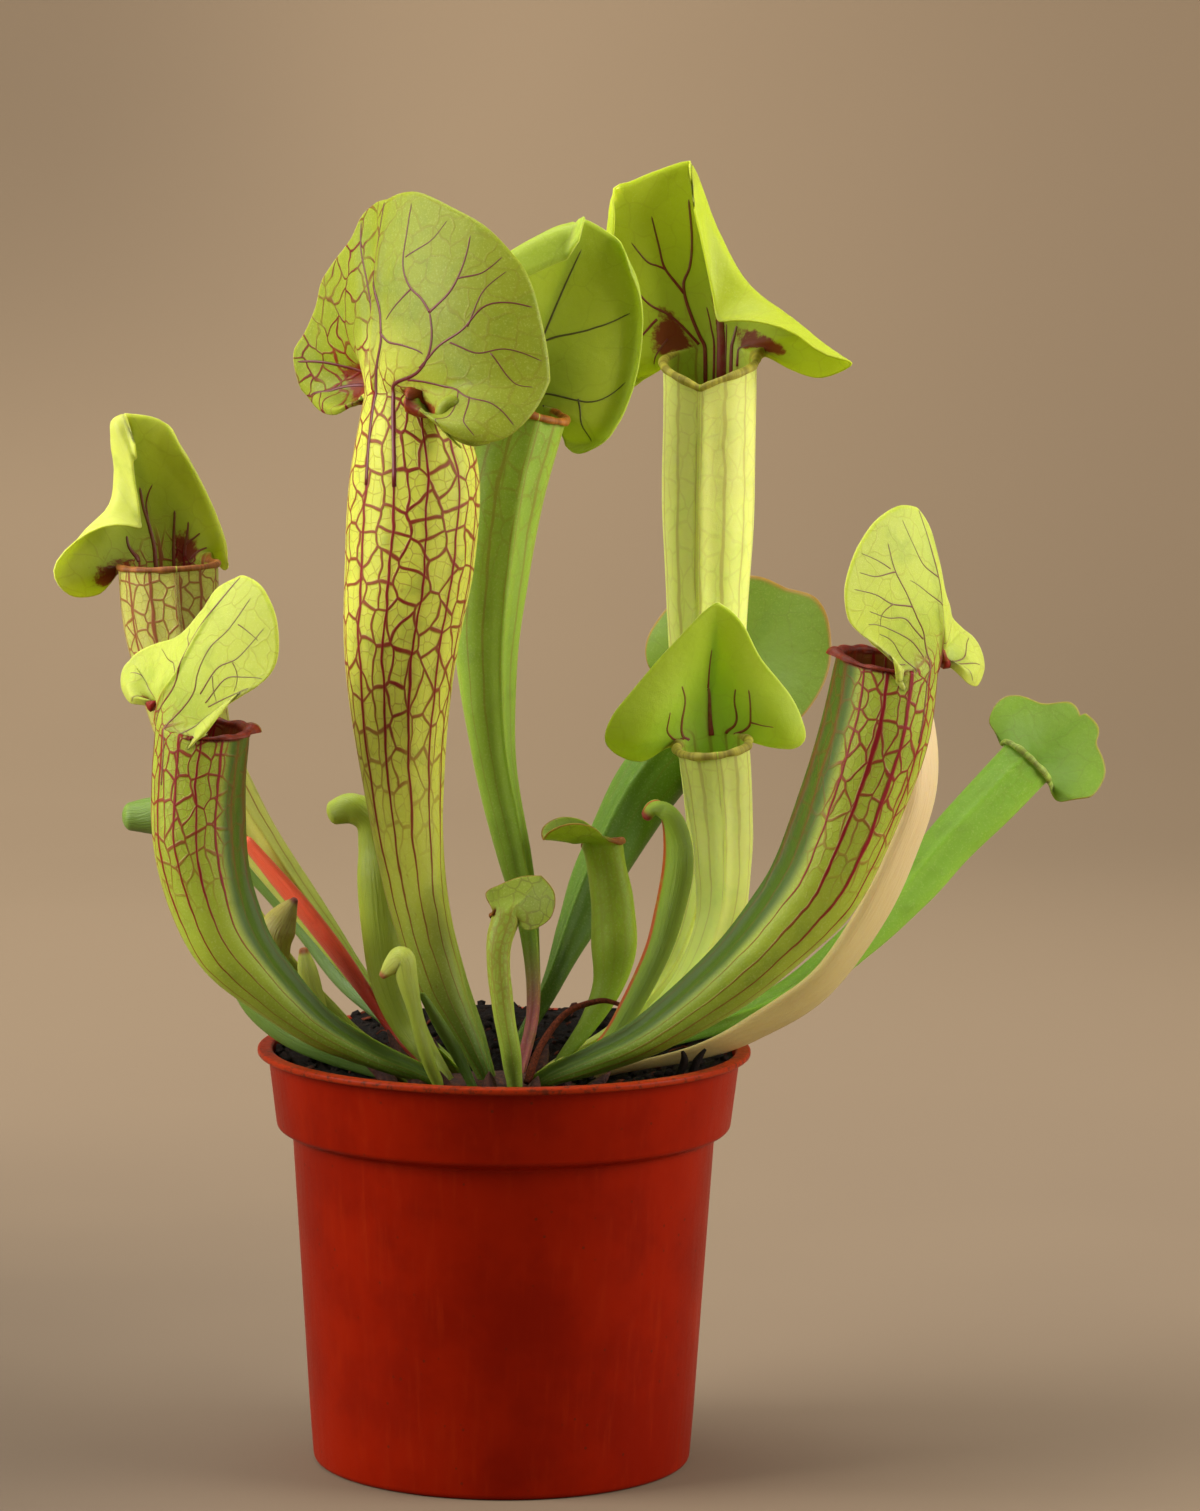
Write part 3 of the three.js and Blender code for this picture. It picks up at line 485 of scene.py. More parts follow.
def leaf_numbers(leaf, hood, grid, turn, column, t, s, depth):
    """Numbers for the points of a pitcher's grid, as the material reads them."""
    lane = np.broadcast_to(np.sign(turn) * (math.pi - np.abs(turn)), (grid.shape[1], len(turn)))
    down = np.concatenate([(1 - t) * leaf.length, 0 * s, 0 * s, (1 - depth) * leaf.length])[:, None]
    along = np.concatenate([0 * t, s, s[::-1], 0 * depth])[:, None]
    is_inner = np.concatenate([0 * t, 0 * s, 0 * s + 1, 0 * depth + 1])[:, None]
    tube_t = np.concatenate([t, 0 * s + 1, 0 * s + 1, depth])[:, None]
    step = np.linalg.norm(np.roll(grid, -1, axis=0) - np.roll(grid, 1, axis=0), axis=2)
    swept = np.abs((np.roll(turn, -1) - np.roll(turn, 1) + math.pi) % (2 * math.pi) - math.pi)
    width = (step / swept[:, None]).T
    net_x, net_y = lane * leaf.top, -down
    for h in (1, -1):
        edge = smooth_line(hood.outline[h], np.clip(np.abs(lane[0]) / column, 0, 1))
        on_sheet = (np.sign(turn) == h) & (np.abs(lane[0]) < column) & (along > 0)
        x = mix(np.abs(lane) * leaf.top, edge[None, :, 0], along)
        net_x = np.where(on_sheet, x * h, net_x)
        net_y = np.where(on_sheet, edge[None, :, 1] * along, net_y)
    return {
        "vein_lane": on_points(lane.shape, lane, width, along),
        "vein_net": on_points(lane.shape, net_x, net_y, lane / column),
        "leaf_zone": on_points(lane.shape, is_inner, down, tube_t),
    }


def curl_numbers(count):
    """Numbers for a curled margin: the hood's skin and its fine net, away from the long veins."""
    same = np.ones(count)
    round_it = np.arange(count) % CURL_SIDES * 0.8
    along_it = np.arange(count) // CURL_SIDES * 0.35
    return {
        "vein_lane": np.stack([same * 40, same * 10, same * 0.6], axis=1),
        "vein_net": np.stack([np.abs(round_it - 11.2), along_it, same * -0.5], axis=1),
        "leaf_zone": np.stack([same * 0, same * 0, same], axis=1),
    }


# %% The whole pitcher
NECK_SHARE = 0.62    # of the columns, because the hood fans out from the neck
HOOD_EDGE = 0.45     # thickness of the hood's edge


def pitcher(leaf, mouth, hood, lip=None, around=128, tube_rows=90, ray_rows=34, inner_rows=22, veins=(),
            veins_inside=False, curl=None):
    """The whole leaf as one closed mesh, with what its material needs stored on the points."""
    leaf.rise = mouth["rise"]
    column = math.radians(mouth["column"])
    n_neck = int(around * NECK_SHARE)
    neck = np.linspace(math.pi - column, math.pi + column, n_neck, endpoint=False)
    rest = np.linspace(math.pi + column, 3 * math.pi - column, around - n_neck, endpoint=False)
    turn = (np.concatenate([neck, rest]) + math.pi) % (2 * math.pi) - math.pi

    t = 1 - (1 - np.linspace(0, 1, tube_rows)) ** 1.15
    s = np.linspace(0, 1, ray_rows + 1)[1:]
    outer = leaf.skin(t[None, :], turn[:, None])
    turns, along = np.broadcast_arrays(turn[:, None], s[None, :])
    fan = (math.pi - np.abs(turns)) / column
    lip_part = lip_rays(leaf, turns, along, {"size": 0.7, **(lip or {})})
    rays = mix(hood_rays(leaf, hood, turns, along, column), lip_part, ease(0.9, 1.12, fan)[..., None])

    # The sheet gets its thickness along its own normals, and a keel up its back.
    rim = leaf.skin(1.0, turn, -leaf.wall / 2)[:, None]
    normal = sheet_normals(np.concatenate([rim, rays], axis=1))[:, 1:]
    outward = unit(rim[:, 0] - leaf.frame(np.array(1.0))[0])
    if np.median(np.sum(normal[:, 0] * outward, axis=-1)) < 0:
        normal = -normal
    thick = mix(leaf.wall, HOOD_EDGE, ease(0, 0.7, along))[..., None] / 2
    keel = hood.keel * np.exp(-((fan / 0.035) ** 2)) * ease(1.0, 0.6, along) * (fan < 0.5)
    outside = rays + normal * (thick + keel[..., None])
    inside = rays - normal * thick
    depth = 1 - (mouth["cavity"] / leaf.length) * np.linspace(0.02, 1, inner_rows)
    inner = leaf.skin(depth[None, :], turn[:, None], -leaf.wall)

    grid = np.concatenate([outer, outside, inside[:, ::-1], inner], axis=1)
    points, faces = grid_points(grid), ring_faces(grid.shape[1], around)
    numbers = leaf_numbers(leaf, hood, grid, turn, column, t, s, depth)
    if curl:
        rolled, rolled_faces = cord(curl, CURL_SIDES, steps=12)
        faces += shifted(rolled_faces, len(points))
        points = np.concatenate([points, rolled])
        extra = curl_numbers(len(rolled))
        numbers = {label: np.concatenate([values, extra[label]]) for label, values in numbers.items()}
    leaf_faces = len(faces)
    if veins:
        below, above = (inner[:, ::-1], inside) if veins_inside else (outer, outside)
        skin = np.concatenate([below, above], axis=1)
        raised = sheet_normals(skin)
        if (np.sum(raised[:, below.shape[1]] * normal[:, 0]) > 0) == veins_inside:
            raised = -raised
        cords, fades, cord_faces = vein_cords(skin, raised, below.shape[1], ray_rows, n_neck, veins)
        faces += shifted(cord_faces, len(points))
        points = np.concatenate([points, cords])
        extra = np.stack([fades, 0 * fades, 0 * fades], axis=1)
        numbers = {label: np.concatenate([values, extra]) for label, values in numbers.items()}
    piece = build_mesh(leaf.name, points, faces, numbers)
    if veins:
        # The first material will be the leaf's, and the second its veins'.
        piece.data.materials.append(None)
        piece.data.materials.append(None)
        marks = [0] * leaf_faces + [1] * (len(faces) - leaf_faces)
        piece.data.polygons.foreach_set("material_index", marks)
    return face_outward(piece)


# %% [markdown]
# Unopened pitchers, flat leaves and dried leaves have no mouth. They are tubes too, squashed to a
# blade where they are flat, and closed by a rounded tip.

# %% A closed leaf
CLOSED_AROUND = 48
CLOSED_ROWS = 80
TIP_ROWS = 6
TIP_STRETCH = 0.6


def closed_leaf(leaf):
    """A leaf with no mouth, ending in a rounded tip."""
    turn = np.linspace(-math.pi, math.pi, CLOSED_AROUND, endpoint=False)
    t = np.linspace(0, 1, CLOSED_ROWS)
    rings = [leaf.skin(t[None, :], turn[:, None])]
    for k in range(1, TIP_ROWS + 1):
        angle = k / (TIP_ROWS + 1) * math.pi / 2
        shrink, lift = leaf.top * (1 - math.cos(angle)), leaf.top * TIP_STRETCH * math.sin(angle)
        rings.append(leaf.skin(1.0, turn, -shrink, lift)[:, None])
    grid = np.concatenate(rings, axis=1)
    full_t = np.concatenate([t, np.ones(TIP_ROWS)])
    lane = np.broadcast_to(np.sign(turn + 1e-9) * (math.pi - np.abs(turn)), (len(full_t), CLOSED_AROUND))
    down = (1 - full_t[:, None]) * leaf.length
    numbers = {
        "vein_lane": on_points(lane.shape, lane, smooth_line(leaf.line, full_t)[:, 3:], 0),
        "vein_net": on_points(lane.shape, lane * leaf.top, -down, 0),
        "leaf_zone": on_points(lane.shape, 0, down, full_t[:, None]),
    }
    faces = ring_faces(len(full_t), CLOSED_AROUND)
    return face_outward(build_mesh(leaf.name, grid_points(grid), faces, numbers))


# %% [markdown]
# ## Node helpers
#
# Materials are networks of small nodes. A few helpers keep each material readable: one adds a node
# and joins its inputs, and others do arithmetic, blends and ramps.

# %% Node helpers
class Paint:
    """Writes one material's node network."""

    def __init__(self, name):
        self.material = bpy.data.materials.new(name)
        self.material.use_nodes = True
        self.tree = self.material.node_tree
        self.shader = self.tree.nodes["Principled BSDF"]

    def add(self, kind, inputs=None, **settings):
        node = self.tree.nodes.new(kind)
        for key, value in settings.items():
            setattr(node, key, value)
        for key, value in (inputs or {}).items():
            self.join(node.inputs[key], value)
        return node

    def join(self, socket, value):
        if hasattr(value, "is_output"):
            self.tree.links.new(value, socket)
        else:
            socket.default_value = value

    def math(self, how, a, b=None, c=None, clamp=False):
        node = self.add("ShaderNodeMath", operation=how, use_clamp=clamp)
        for k, value in enumerate((a, b, c)):
            if value is not None:
                self.join(node.inputs[k], value)
        return node.outputs[0]

    def step(self, value, low, high, to_low=0.0, to_high=1.0):
        """A smooth step of value, from to_low at low to to_high at high."""
        inputs = {"Value": value, "From Min": low, "From Max": high, "To Min": to_low, "To Max": to_high}
        return self.add("ShaderNodeMapRange", inputs, interpolation_type="SMOOTHSTEP").outputs[0]

    def times(self, *values):
        """The product of any number of values."""
        product = values[0]
        for value in values[1:]:
            product = self.math("MULTIPLY", product, value)
        return product

    def apart(self, a, b):
        """How far a is from b."""
        return self.math("ABSOLUTE", self.math("SUBTRACT", a, b))

    def blend(self, a, b, factor):
        node = self.add("ShaderNodeMix", data_type="RGBA")
        self.join(node.inputs[0], factor)
        self.join(node.inputs[6], a)
        self.join(node.inputs[7], b)
        return node.outputs[2]

    def numbers(self, label):
        """The three numbers stored on the points under a name."""
        node = self.add("ShaderNodeAttribute", attribute_name=label)
        return self.add("ShaderNodeSeparateXYZ", {0: node.outputs["Vector"]}).outputs

    def vector(self, x, y, z=0.0):
        return self.add("ShaderNodeCombineXYZ", {0: x, 1: y, 2: z}).outputs[0]

    def noise(self, where, scale, detail=2.0, roughness=0.5):
        inputs = {"Vector": where, "Scale": scale, "Detail": detail, "Roughness": roughness}
        return self.add("ShaderNodeTexNoise", inputs).outputs[0]

    def place(self):
        """Object coordinates in millimetres."""
        return self.stretched(self.add("ShaderNodeTexCoord").outputs["Object"], (1 / MM, 1 / MM, 1 / MM))

    def stretched(self, where, amounts):
        return self.add("ShaderNodeVectorMath", {0: where, 1: amounts}, operation="MULTIPLY").outputs[0]

    def bump(self, height, distance, strength=1.0, after=None):
        inputs = {"Height": height, "Distance": distance, "Strength": strength}
        if after is not None:
            inputs["Normal"] = after
        return self.add("ShaderNodeBump", inputs).outputs[0]

    def glow(self, weight, radius, scale):
        """Lets some light in under the skin and out again nearby."""
        for label, value in (("Weight", weight), ("Radius", radius), ("Scale", scale)):
            self.shader.inputs["Subsurface " + label].default_value = value

    def finish(self, colour, roughness, normal=None, shine=None):
        """Joins what was made to the shader. shine is how strongly the surface mirrors light."""
        self.join(self.shader.inputs["Base Color"], colour)
        self.join(self.shader.inputs["Roughness"], roughness)
        if normal is not None:
            self.join(self.shader.inputs["Normal"], normal)
        if shine is not None:
            self.shader.inputs["Specular IOR Level"].default_value = shine
        return self.material


def rgb(r, g, b):
    """A colour given as it looks on a screen, 0 to 255, in the linear numbers that Blender mixes."""
    def linear(v):
        v = v / 255
        return v / 12.92 if v <= 0.04045 else ((v + 0.055) / 1.055) ** 2.4
    return (linear(r), linear(g), linear(b), 1.0)


# %% [markdown]
# ## Living leaf tissue
#
# The skin is a soft yellow-green with a satin shine, and a little light passes through it. Crimson
# veins run up the tube, cross-link into a net and fan out over the hood. The veins are drawn in
# the leaf's own lanes, so they follow the leaf wherever it bends: long veins at even lanes, and a
# net from the borders of Voronoi cells. Dark red gathers in the pockets at the base of the hood,
# partly the leaf's own red and partly painted shade in the hollows, and on the lip.

# %% The leaf material
LEAF_GREEN = rgb(188, 196, 62)
LEAF_DEEP = rgb(104, 132, 34)
LEAF_PALE = rgb(196, 206, 84)
CRIMSON = rgb(140, 16, 28)
MAROON = rgb(84, 24, 34)
RUST = rgb(138, 66, 26)


DARK_RED = rgb(126, 6, 8)


class LeafPaint(Paint):
    """A network for leaf skin, with the numbers that the leaf's points store."""

    def __init__(self, name):
        super().__init__(name)
        self.lane, self.width, self.along = self.numbers("vein_lane")
        self.net_x, self.net_y, self.hand_fan = self.numbers("vein_net")
        self.inner, self.down, self.t = self.numbers("leaf_zone")
        self.from_back = self.math("ABSOLUTE", self.lane)
        self.spot = self.place()
        self.sheet = self.vector(self.net_x, self.net_y)
        self.patches = self.noise(self.spot, 0.11, 3.0, 0.6)

    def long_veins(self, lanes, fade, line_width):
        """Long veins, one in each lane, and how far each point is from its vein, in millimetres.

        They wander, and no two are equally strong."""
        drift = self.vector(self.lane, self.times(self.down, 0.05), self.times(self.along, 2.0))
        wander = self.math("SUBTRACT", self.noise(drift, 1.7, 2.0), 0.5)
        wander = self.times(wander, self.step(self.down, 0, 12, 0.1, 0.4))
        where = self.math("ADD", self.math("DIVIDE", self.lane, lanes), wander)
        number = self.math("FLOOR", self.math("ADD", where, 0.5))
        vigour = self.add("ShaderNodeTexWhiteNoise", {"W": number}, noise_dimensions="1D").outputs["Value"]
        vigour = self.math("MULTIPLY_ADD", vigour, 0.55, 0.6)
        distance = self.times(self.apart(where, number), self.times(self.width, lanes))
        reach = self.times(vigour, self.step(self.t, fade, fade + 0.4, line_width * 0.6, line_width * 1.6))
        return self.step(self.math("DIVIDE", distance, reach), 1.0, 0.35), distance

    def vein_net(self, size, stretch, thickness, sway):
        """A net with meshes of a given size in millimetres, stretched up the leaf."""
        ways = []
        turned = self.vector(self.net_y, self.net_x)
        for way, where, cell in ((self.net_x, self.sheet, size), (self.net_y, turned, size * stretch)):
            bend = self.times(self.math("SUBTRACT", self.noise(where, 0.16, 1.0), 0.5), sway)
            ways.append(self.math("DIVIDE", self.math("ADD", way, bend), cell))
        inputs = {"Vector": self.vector(*ways), "Scale": 1.0, "Randomness": 0.9}
        cells = self.add("ShaderNodeTexVoronoi", inputs, feature="DISTANCE_TO_EDGE", voronoi_dimensions="2D")
        return self.step(cells.outputs["Distance"], thickness / size, thickness * 0.3 / size)

    def pockets(self, colour, places, blotchy, shown):
        """Dark red round each place, which is fan, s, and a size along each of the two: partly the leaf's own
        red, partly painted shade in the hollow.
        """
        for at_fan, at_along, fan_size, along_size in places:
            aside = self.math("DIVIDE", self.math("SUBTRACT", self.hand_fan, at_fan), fan_size)
            above = self.math("DIVIDE", self.math("SUBTRACT", self.along, at_along), along_size)
            away = self.math("SQRT", self.math("ADD", self.times(aside, aside), self.times(above, above)))
            away = self.math("ADD", away, self.times(self.math("SUBTRACT", blotchy, 0.5), 1.6))
            colour = self.blend(colour, CRIMSON, self.times(self.step(away, 2.2, 0.9), shown))
            # The dark red core is partly the leaf's red and partly painted shade in the hollow of the pocket.
            colour = self.blend(colour, DARK_RED, self.step(away, 1.15, 0.7, 0, 0.92))
        return colour


def ground_colour(p, tube, low, hood, inside, root, patchy, front, front_from):
    """The leaf without its veins: from the crown to the mouth, then the hood, then the inside."""
    skin = p.blend(low, tube, p.step(p.t, 0.1, 0.62))
    skin = p.blend(skin, hood, p.step(p.along, 0.0, 0.5))
    if root:
        skin = p.blend(skin, root, p.step(p.t, 0.34, 0.2))
    skin = p.blend(skin, LEAF_DEEP, p.step(p.patches, 0.5, 0.75, 0, patchy))
    skin = p.blend(skin, rgb(72, 40, 20), p.step(p.t, 0.09, 0.01, 0, 0.85))
    freckles = p.step(p.noise(p.spot, 1.9, 3.0, 0.6), 0.5, 0.75, 0, 0.5)
    skin = p.blend(skin, p.blend(skin, (0.9, 0.95, 0.4, 1), 0.25), freckles)
    # The front strip is darker green: partly the leaf's own colour, partly painted shade.
    if front:
        skin = p.blend(skin, front, p.step(p.from_back, front_from, front_from + 0.35))
    return p.blend(skin, inside, p.times(p.inner, p.step(p.along, 1.0, 0.5, 0.4, 0.85)))


def leaf_material(name, tube=LEAF_GREEN, low=LEAF_DEEP, hood=LEAF_PALE, inside=LEAF_DEEP, hood_vein=MAROON,
                  veins=1.0, net=1.0, hood_net=(0.3, 0.3), hood_line=0.26, lanes=0.52, cell=3.9,
                  hood_cell=5.5, fade=0.25, lip=None, lip_reach=1.2, pockets=(), edge=None, front=None,
                  front_from=2.3, root=None, line_width=0.44, patchy=0.3):
    """Leaf skin. veins and net set how strong each is, and fade is where they vanish down the tube.

    hood_net is the strength of the hood's thin net on the left and the right half."""
    p = LeafPaint(name)
    on_hood = p.step(p.along, 0.04, 0.3)
    skin = ground_colour(p, tube, low, hood, inside, root, patchy, front, front_from)

    # Long veins and a net between them, small on the tube and large on the hood.
    long_vein, distance = p.long_veins(lanes, fade, line_width)
    tube_net = p.times(p.vein_net(cell, 1.5, 0.36, 3.0), 0.9)
    if net > 0.3:
        tube_net = p.math("MAXIMUM", tube_net, p.times(p.vein_net(cell * 0.5, 1.3, 0.14, 1.5), 0.25))
    patchwork = p.step(p.noise(p.sheet, 0.09, 2.0), 0.35, 0.6, 0.4, 1.0)
    by_hand = p.step(p.hand_fan, -0.06, 0.06, hood_net[1], hood_net[0])
    wide_net = p.times(p.vein_net(hood_cell, 1.15, hood_line, 5.0), p.times(patchwork, by_hand))
    nets = p.blend(p.times(tube_net, net), wide_net, on_hood)
    low_fade = p.step(p.t, fade + 0.18, fade + 0.42)
    shown = p.times(long_vein, p.times(p.step(p.t, fade * 0.4, fade + 0.3, 0.25, 1.0), veins))
    shown = p.times(shown, p.math("SUBTRACT", 1.0, on_hood))
    shown = p.math("MAXIMUM", shown, p.times(nets, low_fade))
    if front:
        shown = p.times(shown, p.step(p.from_back, front_from, front_from + 0.3, 1.0, 0.25))
    ink = p.blend(p.blend(RUST, CRIMSON, p.step(p.t, 0.35, 0.7)), hood_vein, p.step(p.along, 0.1, 0.5))
    near_vein = p.step(p.math("DIVIDE", distance, line_width), 4.5, 0.0, 0.0, 0.35)
    halo = p.times(near_vein, p.times(low_fade, veins))
    skin = p.blend(skin, p.blend(skin, ink, 0.6), p.times(halo, p.step(p.along, 0.35, 0.05)))
    colour = p.blend(skin, ink, shown)

    # Dark red gathers in the pocket on each side of the neck, partly as the leaf's own red and partly as
    # painted shade in the hollow, and on the lip outside the neck.
    blotchy = p.noise(p.sheet, 0.45, 4.0, 0.65)
    colour = p.pockets(colour, pockets, blotchy, shown)
    if edge:
        colour = p.blend(colour, edge, p.step(p.along, 0.955, 1.0, 0, 0.85))
    if lip:
        on_lip = p.step(p.math("ABSOLUTE", p.hand_fan), 0.93, 1.05)
        above = p.math("MAXIMUM", p.step(p.along, 0.0, 0.02), p.step(p.down, lip_reach, lip_reach * 0.3))
        darker = p.blend(lip, p.blend(lip, rgb(60, 10, 8), 0.6), p.step(blotchy, 0.3, 0.62))
        colour = p.blend(colour, darker, p.times(on_lip, above))

    grain = p.noise(p.spot, 4.5, 3.0, 0.6)
    p.glow(0.75, (0.9, 1.0, 0.3), 0.0022)
    # Strong veins stand out a little. On plain leaves that isn't seen, so it is left out.
    raised = p.bump(shown, 0.00035, 0.6) if veins > 0.5 else None
    relief = p.bump(p.patches, 0.0012, 0.35, p.bump(grain, 0.00012, 0.5, raised))
    return p.finish(colour, p.step(grain, 0.2, 0.8, 0.4, 0.56), relief, shine=0.25)


# %% [markdown]
# The veins of the hoods are raised cords laid on the skin along listed paths, so they fork and taper as grown
# veins do. Thin ends sink into the colour of the leaf.

# %% The veins' material
def vein_material(name, strong, weak):
    p = Paint(name)
    fade, _, _ = p.numbers("vein_lane")
    blots = p.step(p.noise(p.place(), 0.6, 3.0), 0.3, 0.7, -0.15, 0.15)
    p.glow(0.25, (0.8, 0.4, 0.2), 0.001)
    return p.finish(p.blend(strong, weak, p.math("ADD", fade, blots, clamp=True)), 0.45)


crimson_veins = vein_material("veins_crimson", rgb(112, 12, 28), rgb(112, 66, 46))
maroon_veins = vein_material("veins_maroon", rgb(128, 34, 34), rgb(140, 130, 64))
brown_veins = vein_material("veins_brown", rgb(122, 26, 12), rgb(120, 100, 36))
rust_veins = vein_material("veins_rust", rgb(150, 58, 30), rgb(160, 150, 60))
dim_veins = vein_material("veins_dim", rgb(84, 76, 34), rgb(110, 116, 42))


# %% [markdown]
# ## The tall pitcher in front
#
# This is the leaf that the plant is looked at for. We see it from behind: the tube, the keel up
# the back of its neck, and the hood arching over the mouth, with a lobe curling back on each side.

# %% The tall pitcher in front
front_tall = Leaf(
    "pitcher_front_tall", facing=43, wing=2.5, flutes=0.006, bumps=0.25, seed=1,
    spine=[
        (-4, -24, 98, 1.8), (-8, -25, 107, 3.4), (-15, -24, 121, 5.9), (-20, -22, 137, 6.9),
        (-23, -20, 155, 8.6), (-25, -18, 179, 11.2), (-25, -17, 203, 14.2), (-23, -16, 224, 16.1),
        (-22, -15, 243, 15.6), (-23, -14, 257, 11.2),
    ],
)
front_tall_hood = Hood(
    facing=43, tilt=2, lean=0, bend=18, cup=(45, 25), right_cup=(15, 15), left_roll=(70, 50),
    right_roll=(-40, -40),
    left=[
        (0, 46.4), (4.3, 46.6), (7.7, 46.5), (13, 44), (15.9, 38.3), (22.9, 33.2), (28, 28.6), (31, 22.8),
        (36.5, 16.7), (41.4, 12), (42.2, 5.8), (39.8, 0), (31.6, -5.3), (20.7, -6.3), (14, -4),
    ],
    right=[
        (0, 46.4), (5.7, 47.8), (11.7, 47.5), (21.5, 44), (29.6, 40.4), (36.2, 35), (41.5, 28.3), (44.8, 18),
        (46.7, 5.7), (46, -7), (42, -14.8), (36.3, -16.3), (30.3, -14.5), (24.6, -11), (20, -7), (15, -3),
    ],
    left_swells=[(0.68, 0.16, 0.38, 0.2, -5), (0.8, 0.3, 0.85, 0.25, 3), (0.14, 0.1, 0.6, 0.6, -2.2)],
    right_swells=[(0.8, 0.2, 0.78, 0.35, 6), (0.72, 0.14, 0.3, 0.14, -5), (0.42, 0.28, 0.6, 0.35, 3)],
    right_fold={"radius": 2.6, "degrees": -170, "flap": 0.5, "fans": (0.84, 0.9, 0.99, 1.06)},
    keel=0.8,
)
front_tall_veins = [
    (1.08, [(0, -0.4), (-0.02, -0.1), (-0.14, 0.2), (-0.08, 0.36), (0, 0.58), (0.03, 0.8), (0.03, 0.99)]),
    (1.08, [(-0.51, -0.4), (-0.51, 0.02), (-0.5, 0.25), (-0.4, 0.4), (-0.31, 0.5)]),
    (0.68, [(-0.31, 0.5), (-0.25, 0.53), (-0.19, 0.56), (-0.15, 0.64), (-0.13, 0.78), (-0.11, 0.94)]),
    (0.54, [(-0.2, 0.55), (-0.17, 0.46), (-0.13, 0.36)]),
    (0.68, [(-0.31, 0.5), (-0.32, 0.63), (-0.3, 0.76), (-0.26, 0.92)]),
    (0.47, [(-0.31, 0.72), (-0.34, 0.82), (-0.34, 0.95)]),
    (0.41, [(-0.15, 0.68), (-0.19, 0.8), (-0.2, 0.93)]),
    (0.68, [(-0.47, 0.3), (-0.43, 0.4), (-0.43, 0.58), (-0.41, 0.75), (-0.45, 0.97)]),
    (0.43, [(-0.43, 0.62), (-0.38, 0.76), (-0.37, 0.92)]),
    (0.47, [(-0.44, 0.5), (-0.49, 0.62), (-0.5, 0.78), (-0.53, 0.96)]),
    (0.57, [(-0.52, 0.22), (-0.56, 0.42), (-0.6, 0.58), (-0.61, 0.76), (-0.64, 0.96)]),
    (0.43, [(-0.6, 0.6), (-0.68, 0.72), (-0.72, 0.92)]),
    (0.43, [(-0.58, 0.5), (-0.68, 0.6), (-0.78, 0.72), (-0.82, 0.92)]),
    (0.38, [(-0.5, 0.7), (-0.56, 0.8), (-0.57, 0.92)]),
    (0.68, [(-0.1, 0.3), (-0.2, 0.27), (-0.32, 0.3), (-0.42, 0.34)]),
    (1.02, [(0.66, 0.25), (0.64, 0.5), (0.64, 0.72), (0.67, 0.96)]),
    (0.94, [(0.72, 0.3), (0.74, 0.55), (0.78, 0.75), (0.8, 0.95)]),
    (0.77, [(0.1, 0.05), (0.13, 0.3), (0.18, 0.55), (0.22, 0.8), (0.22, 0.97)]),
]
veined = leaf_material(
    "leaf_veined_bold", tube=rgb(214, 220, 84), low=rgb(70, 104, 22), hood=rgb(142, 152, 36),
    pockets=[(0.7, 0.36, 0.16, 0.24), (-0.75, 0.25, 0.15, 0.2)], lip=rgb(96, 24, 16), lip_reach=1.5,
    hood_net=(1.0, 0.16), hood_line=0.42, hood_vein=rgb(112, 14, 28),
)
# The lower corner of the near lobe rolls up like a small snail shell.
front_tall_curl = [
    (-4, -36.6, 251.9, 0.8), (-7.5, -38, 252.2, 1.6), (-10.8, -38.7, 253.8, 2), (-13.6, -38.8, 256.2, 2.1),
    (-14.6, -38.8, 258.9, 2), (-13, -39.2, 260.9, 1.7), (-11, -39.4, 260, 1.4), (-10.6, -38.8, 258.2, 1),
]
piece = pitcher(
    front_tall, {"rise": 5, "column": 58, "cavity": 46}, front_tall_hood, around=176, tube_rows=110,
    ray_rows=44, veins=front_tall_veins, curl=front_tall_curl,
)
finish_piece(piece, "pitcher_front_tall", veined, crimson_veins)

# %% [markdown]
# ## The other tall pitchers
#
# Behind it stand two more tall pitchers that face us, so we look into their hoods. Their colours
# are plainer: one has a blotch of dark red on each side of its neck and a stripe down the middle.

# %% The tall pitcher at the back left
rear_left_tall = Leaf(
    "pitcher_rear_left_tall", facing=-65, wing=2, flutes=0.006, bumps=0.2, seed=2,
    spine=[
        (4, -16, 98, 1.4), (7, -6, 112, 1.6), (6, 2, 129, 2.4), (2, 7, 148, 4.1), (-3, 10, 171, 5.4),
        (-5, 12, 194, 7.4), (-4, 13, 214, 8.8), (-1, 14, 236, 9.8), (4, 15, 255, 9.8),
    ],
)
rear_left_tall_hood = Hood(
    facing=-70, tilt=3, lean=4, bend=10, cup=(55, 30), left_roll=(70, 60), right_roll=(90, 80),
    left_fold={"radius": 2, "degrees": 120, "flap": 1.5, "fans": (0.1, 0.25, 0.7, 0.95)},
    right_fold={"radius": 2.4, "degrees": 150, "flap": 7, "fans": (0.02, 0.12, 0.32, 0.5)},
    left=[(0, 47), (8, 45), (17, 37), (23, 22), (25, 6), (22, -4), (16, -7), (12, -2)],
    right=[(0, 47), (8, 43), (16, 33), (22, 19), (23, 5), (19, -5), (12, -2)],
)
plain_green = leaf_material(
    "leaf_plain_green", tube=rgb(150, 182, 60), low=rgb(126, 160, 50), hood=rgb(168, 190, 62),
    inside=rgb(172, 188, 58), veins=0.3, net=0.2, hood_net=(0.1, 0.1), hood_vein=rgb(70, 60, 30),
    hood_cell=9, fade=0.5, lip=rgb(190, 120, 40), root=rgb(168, 92, 92),
)
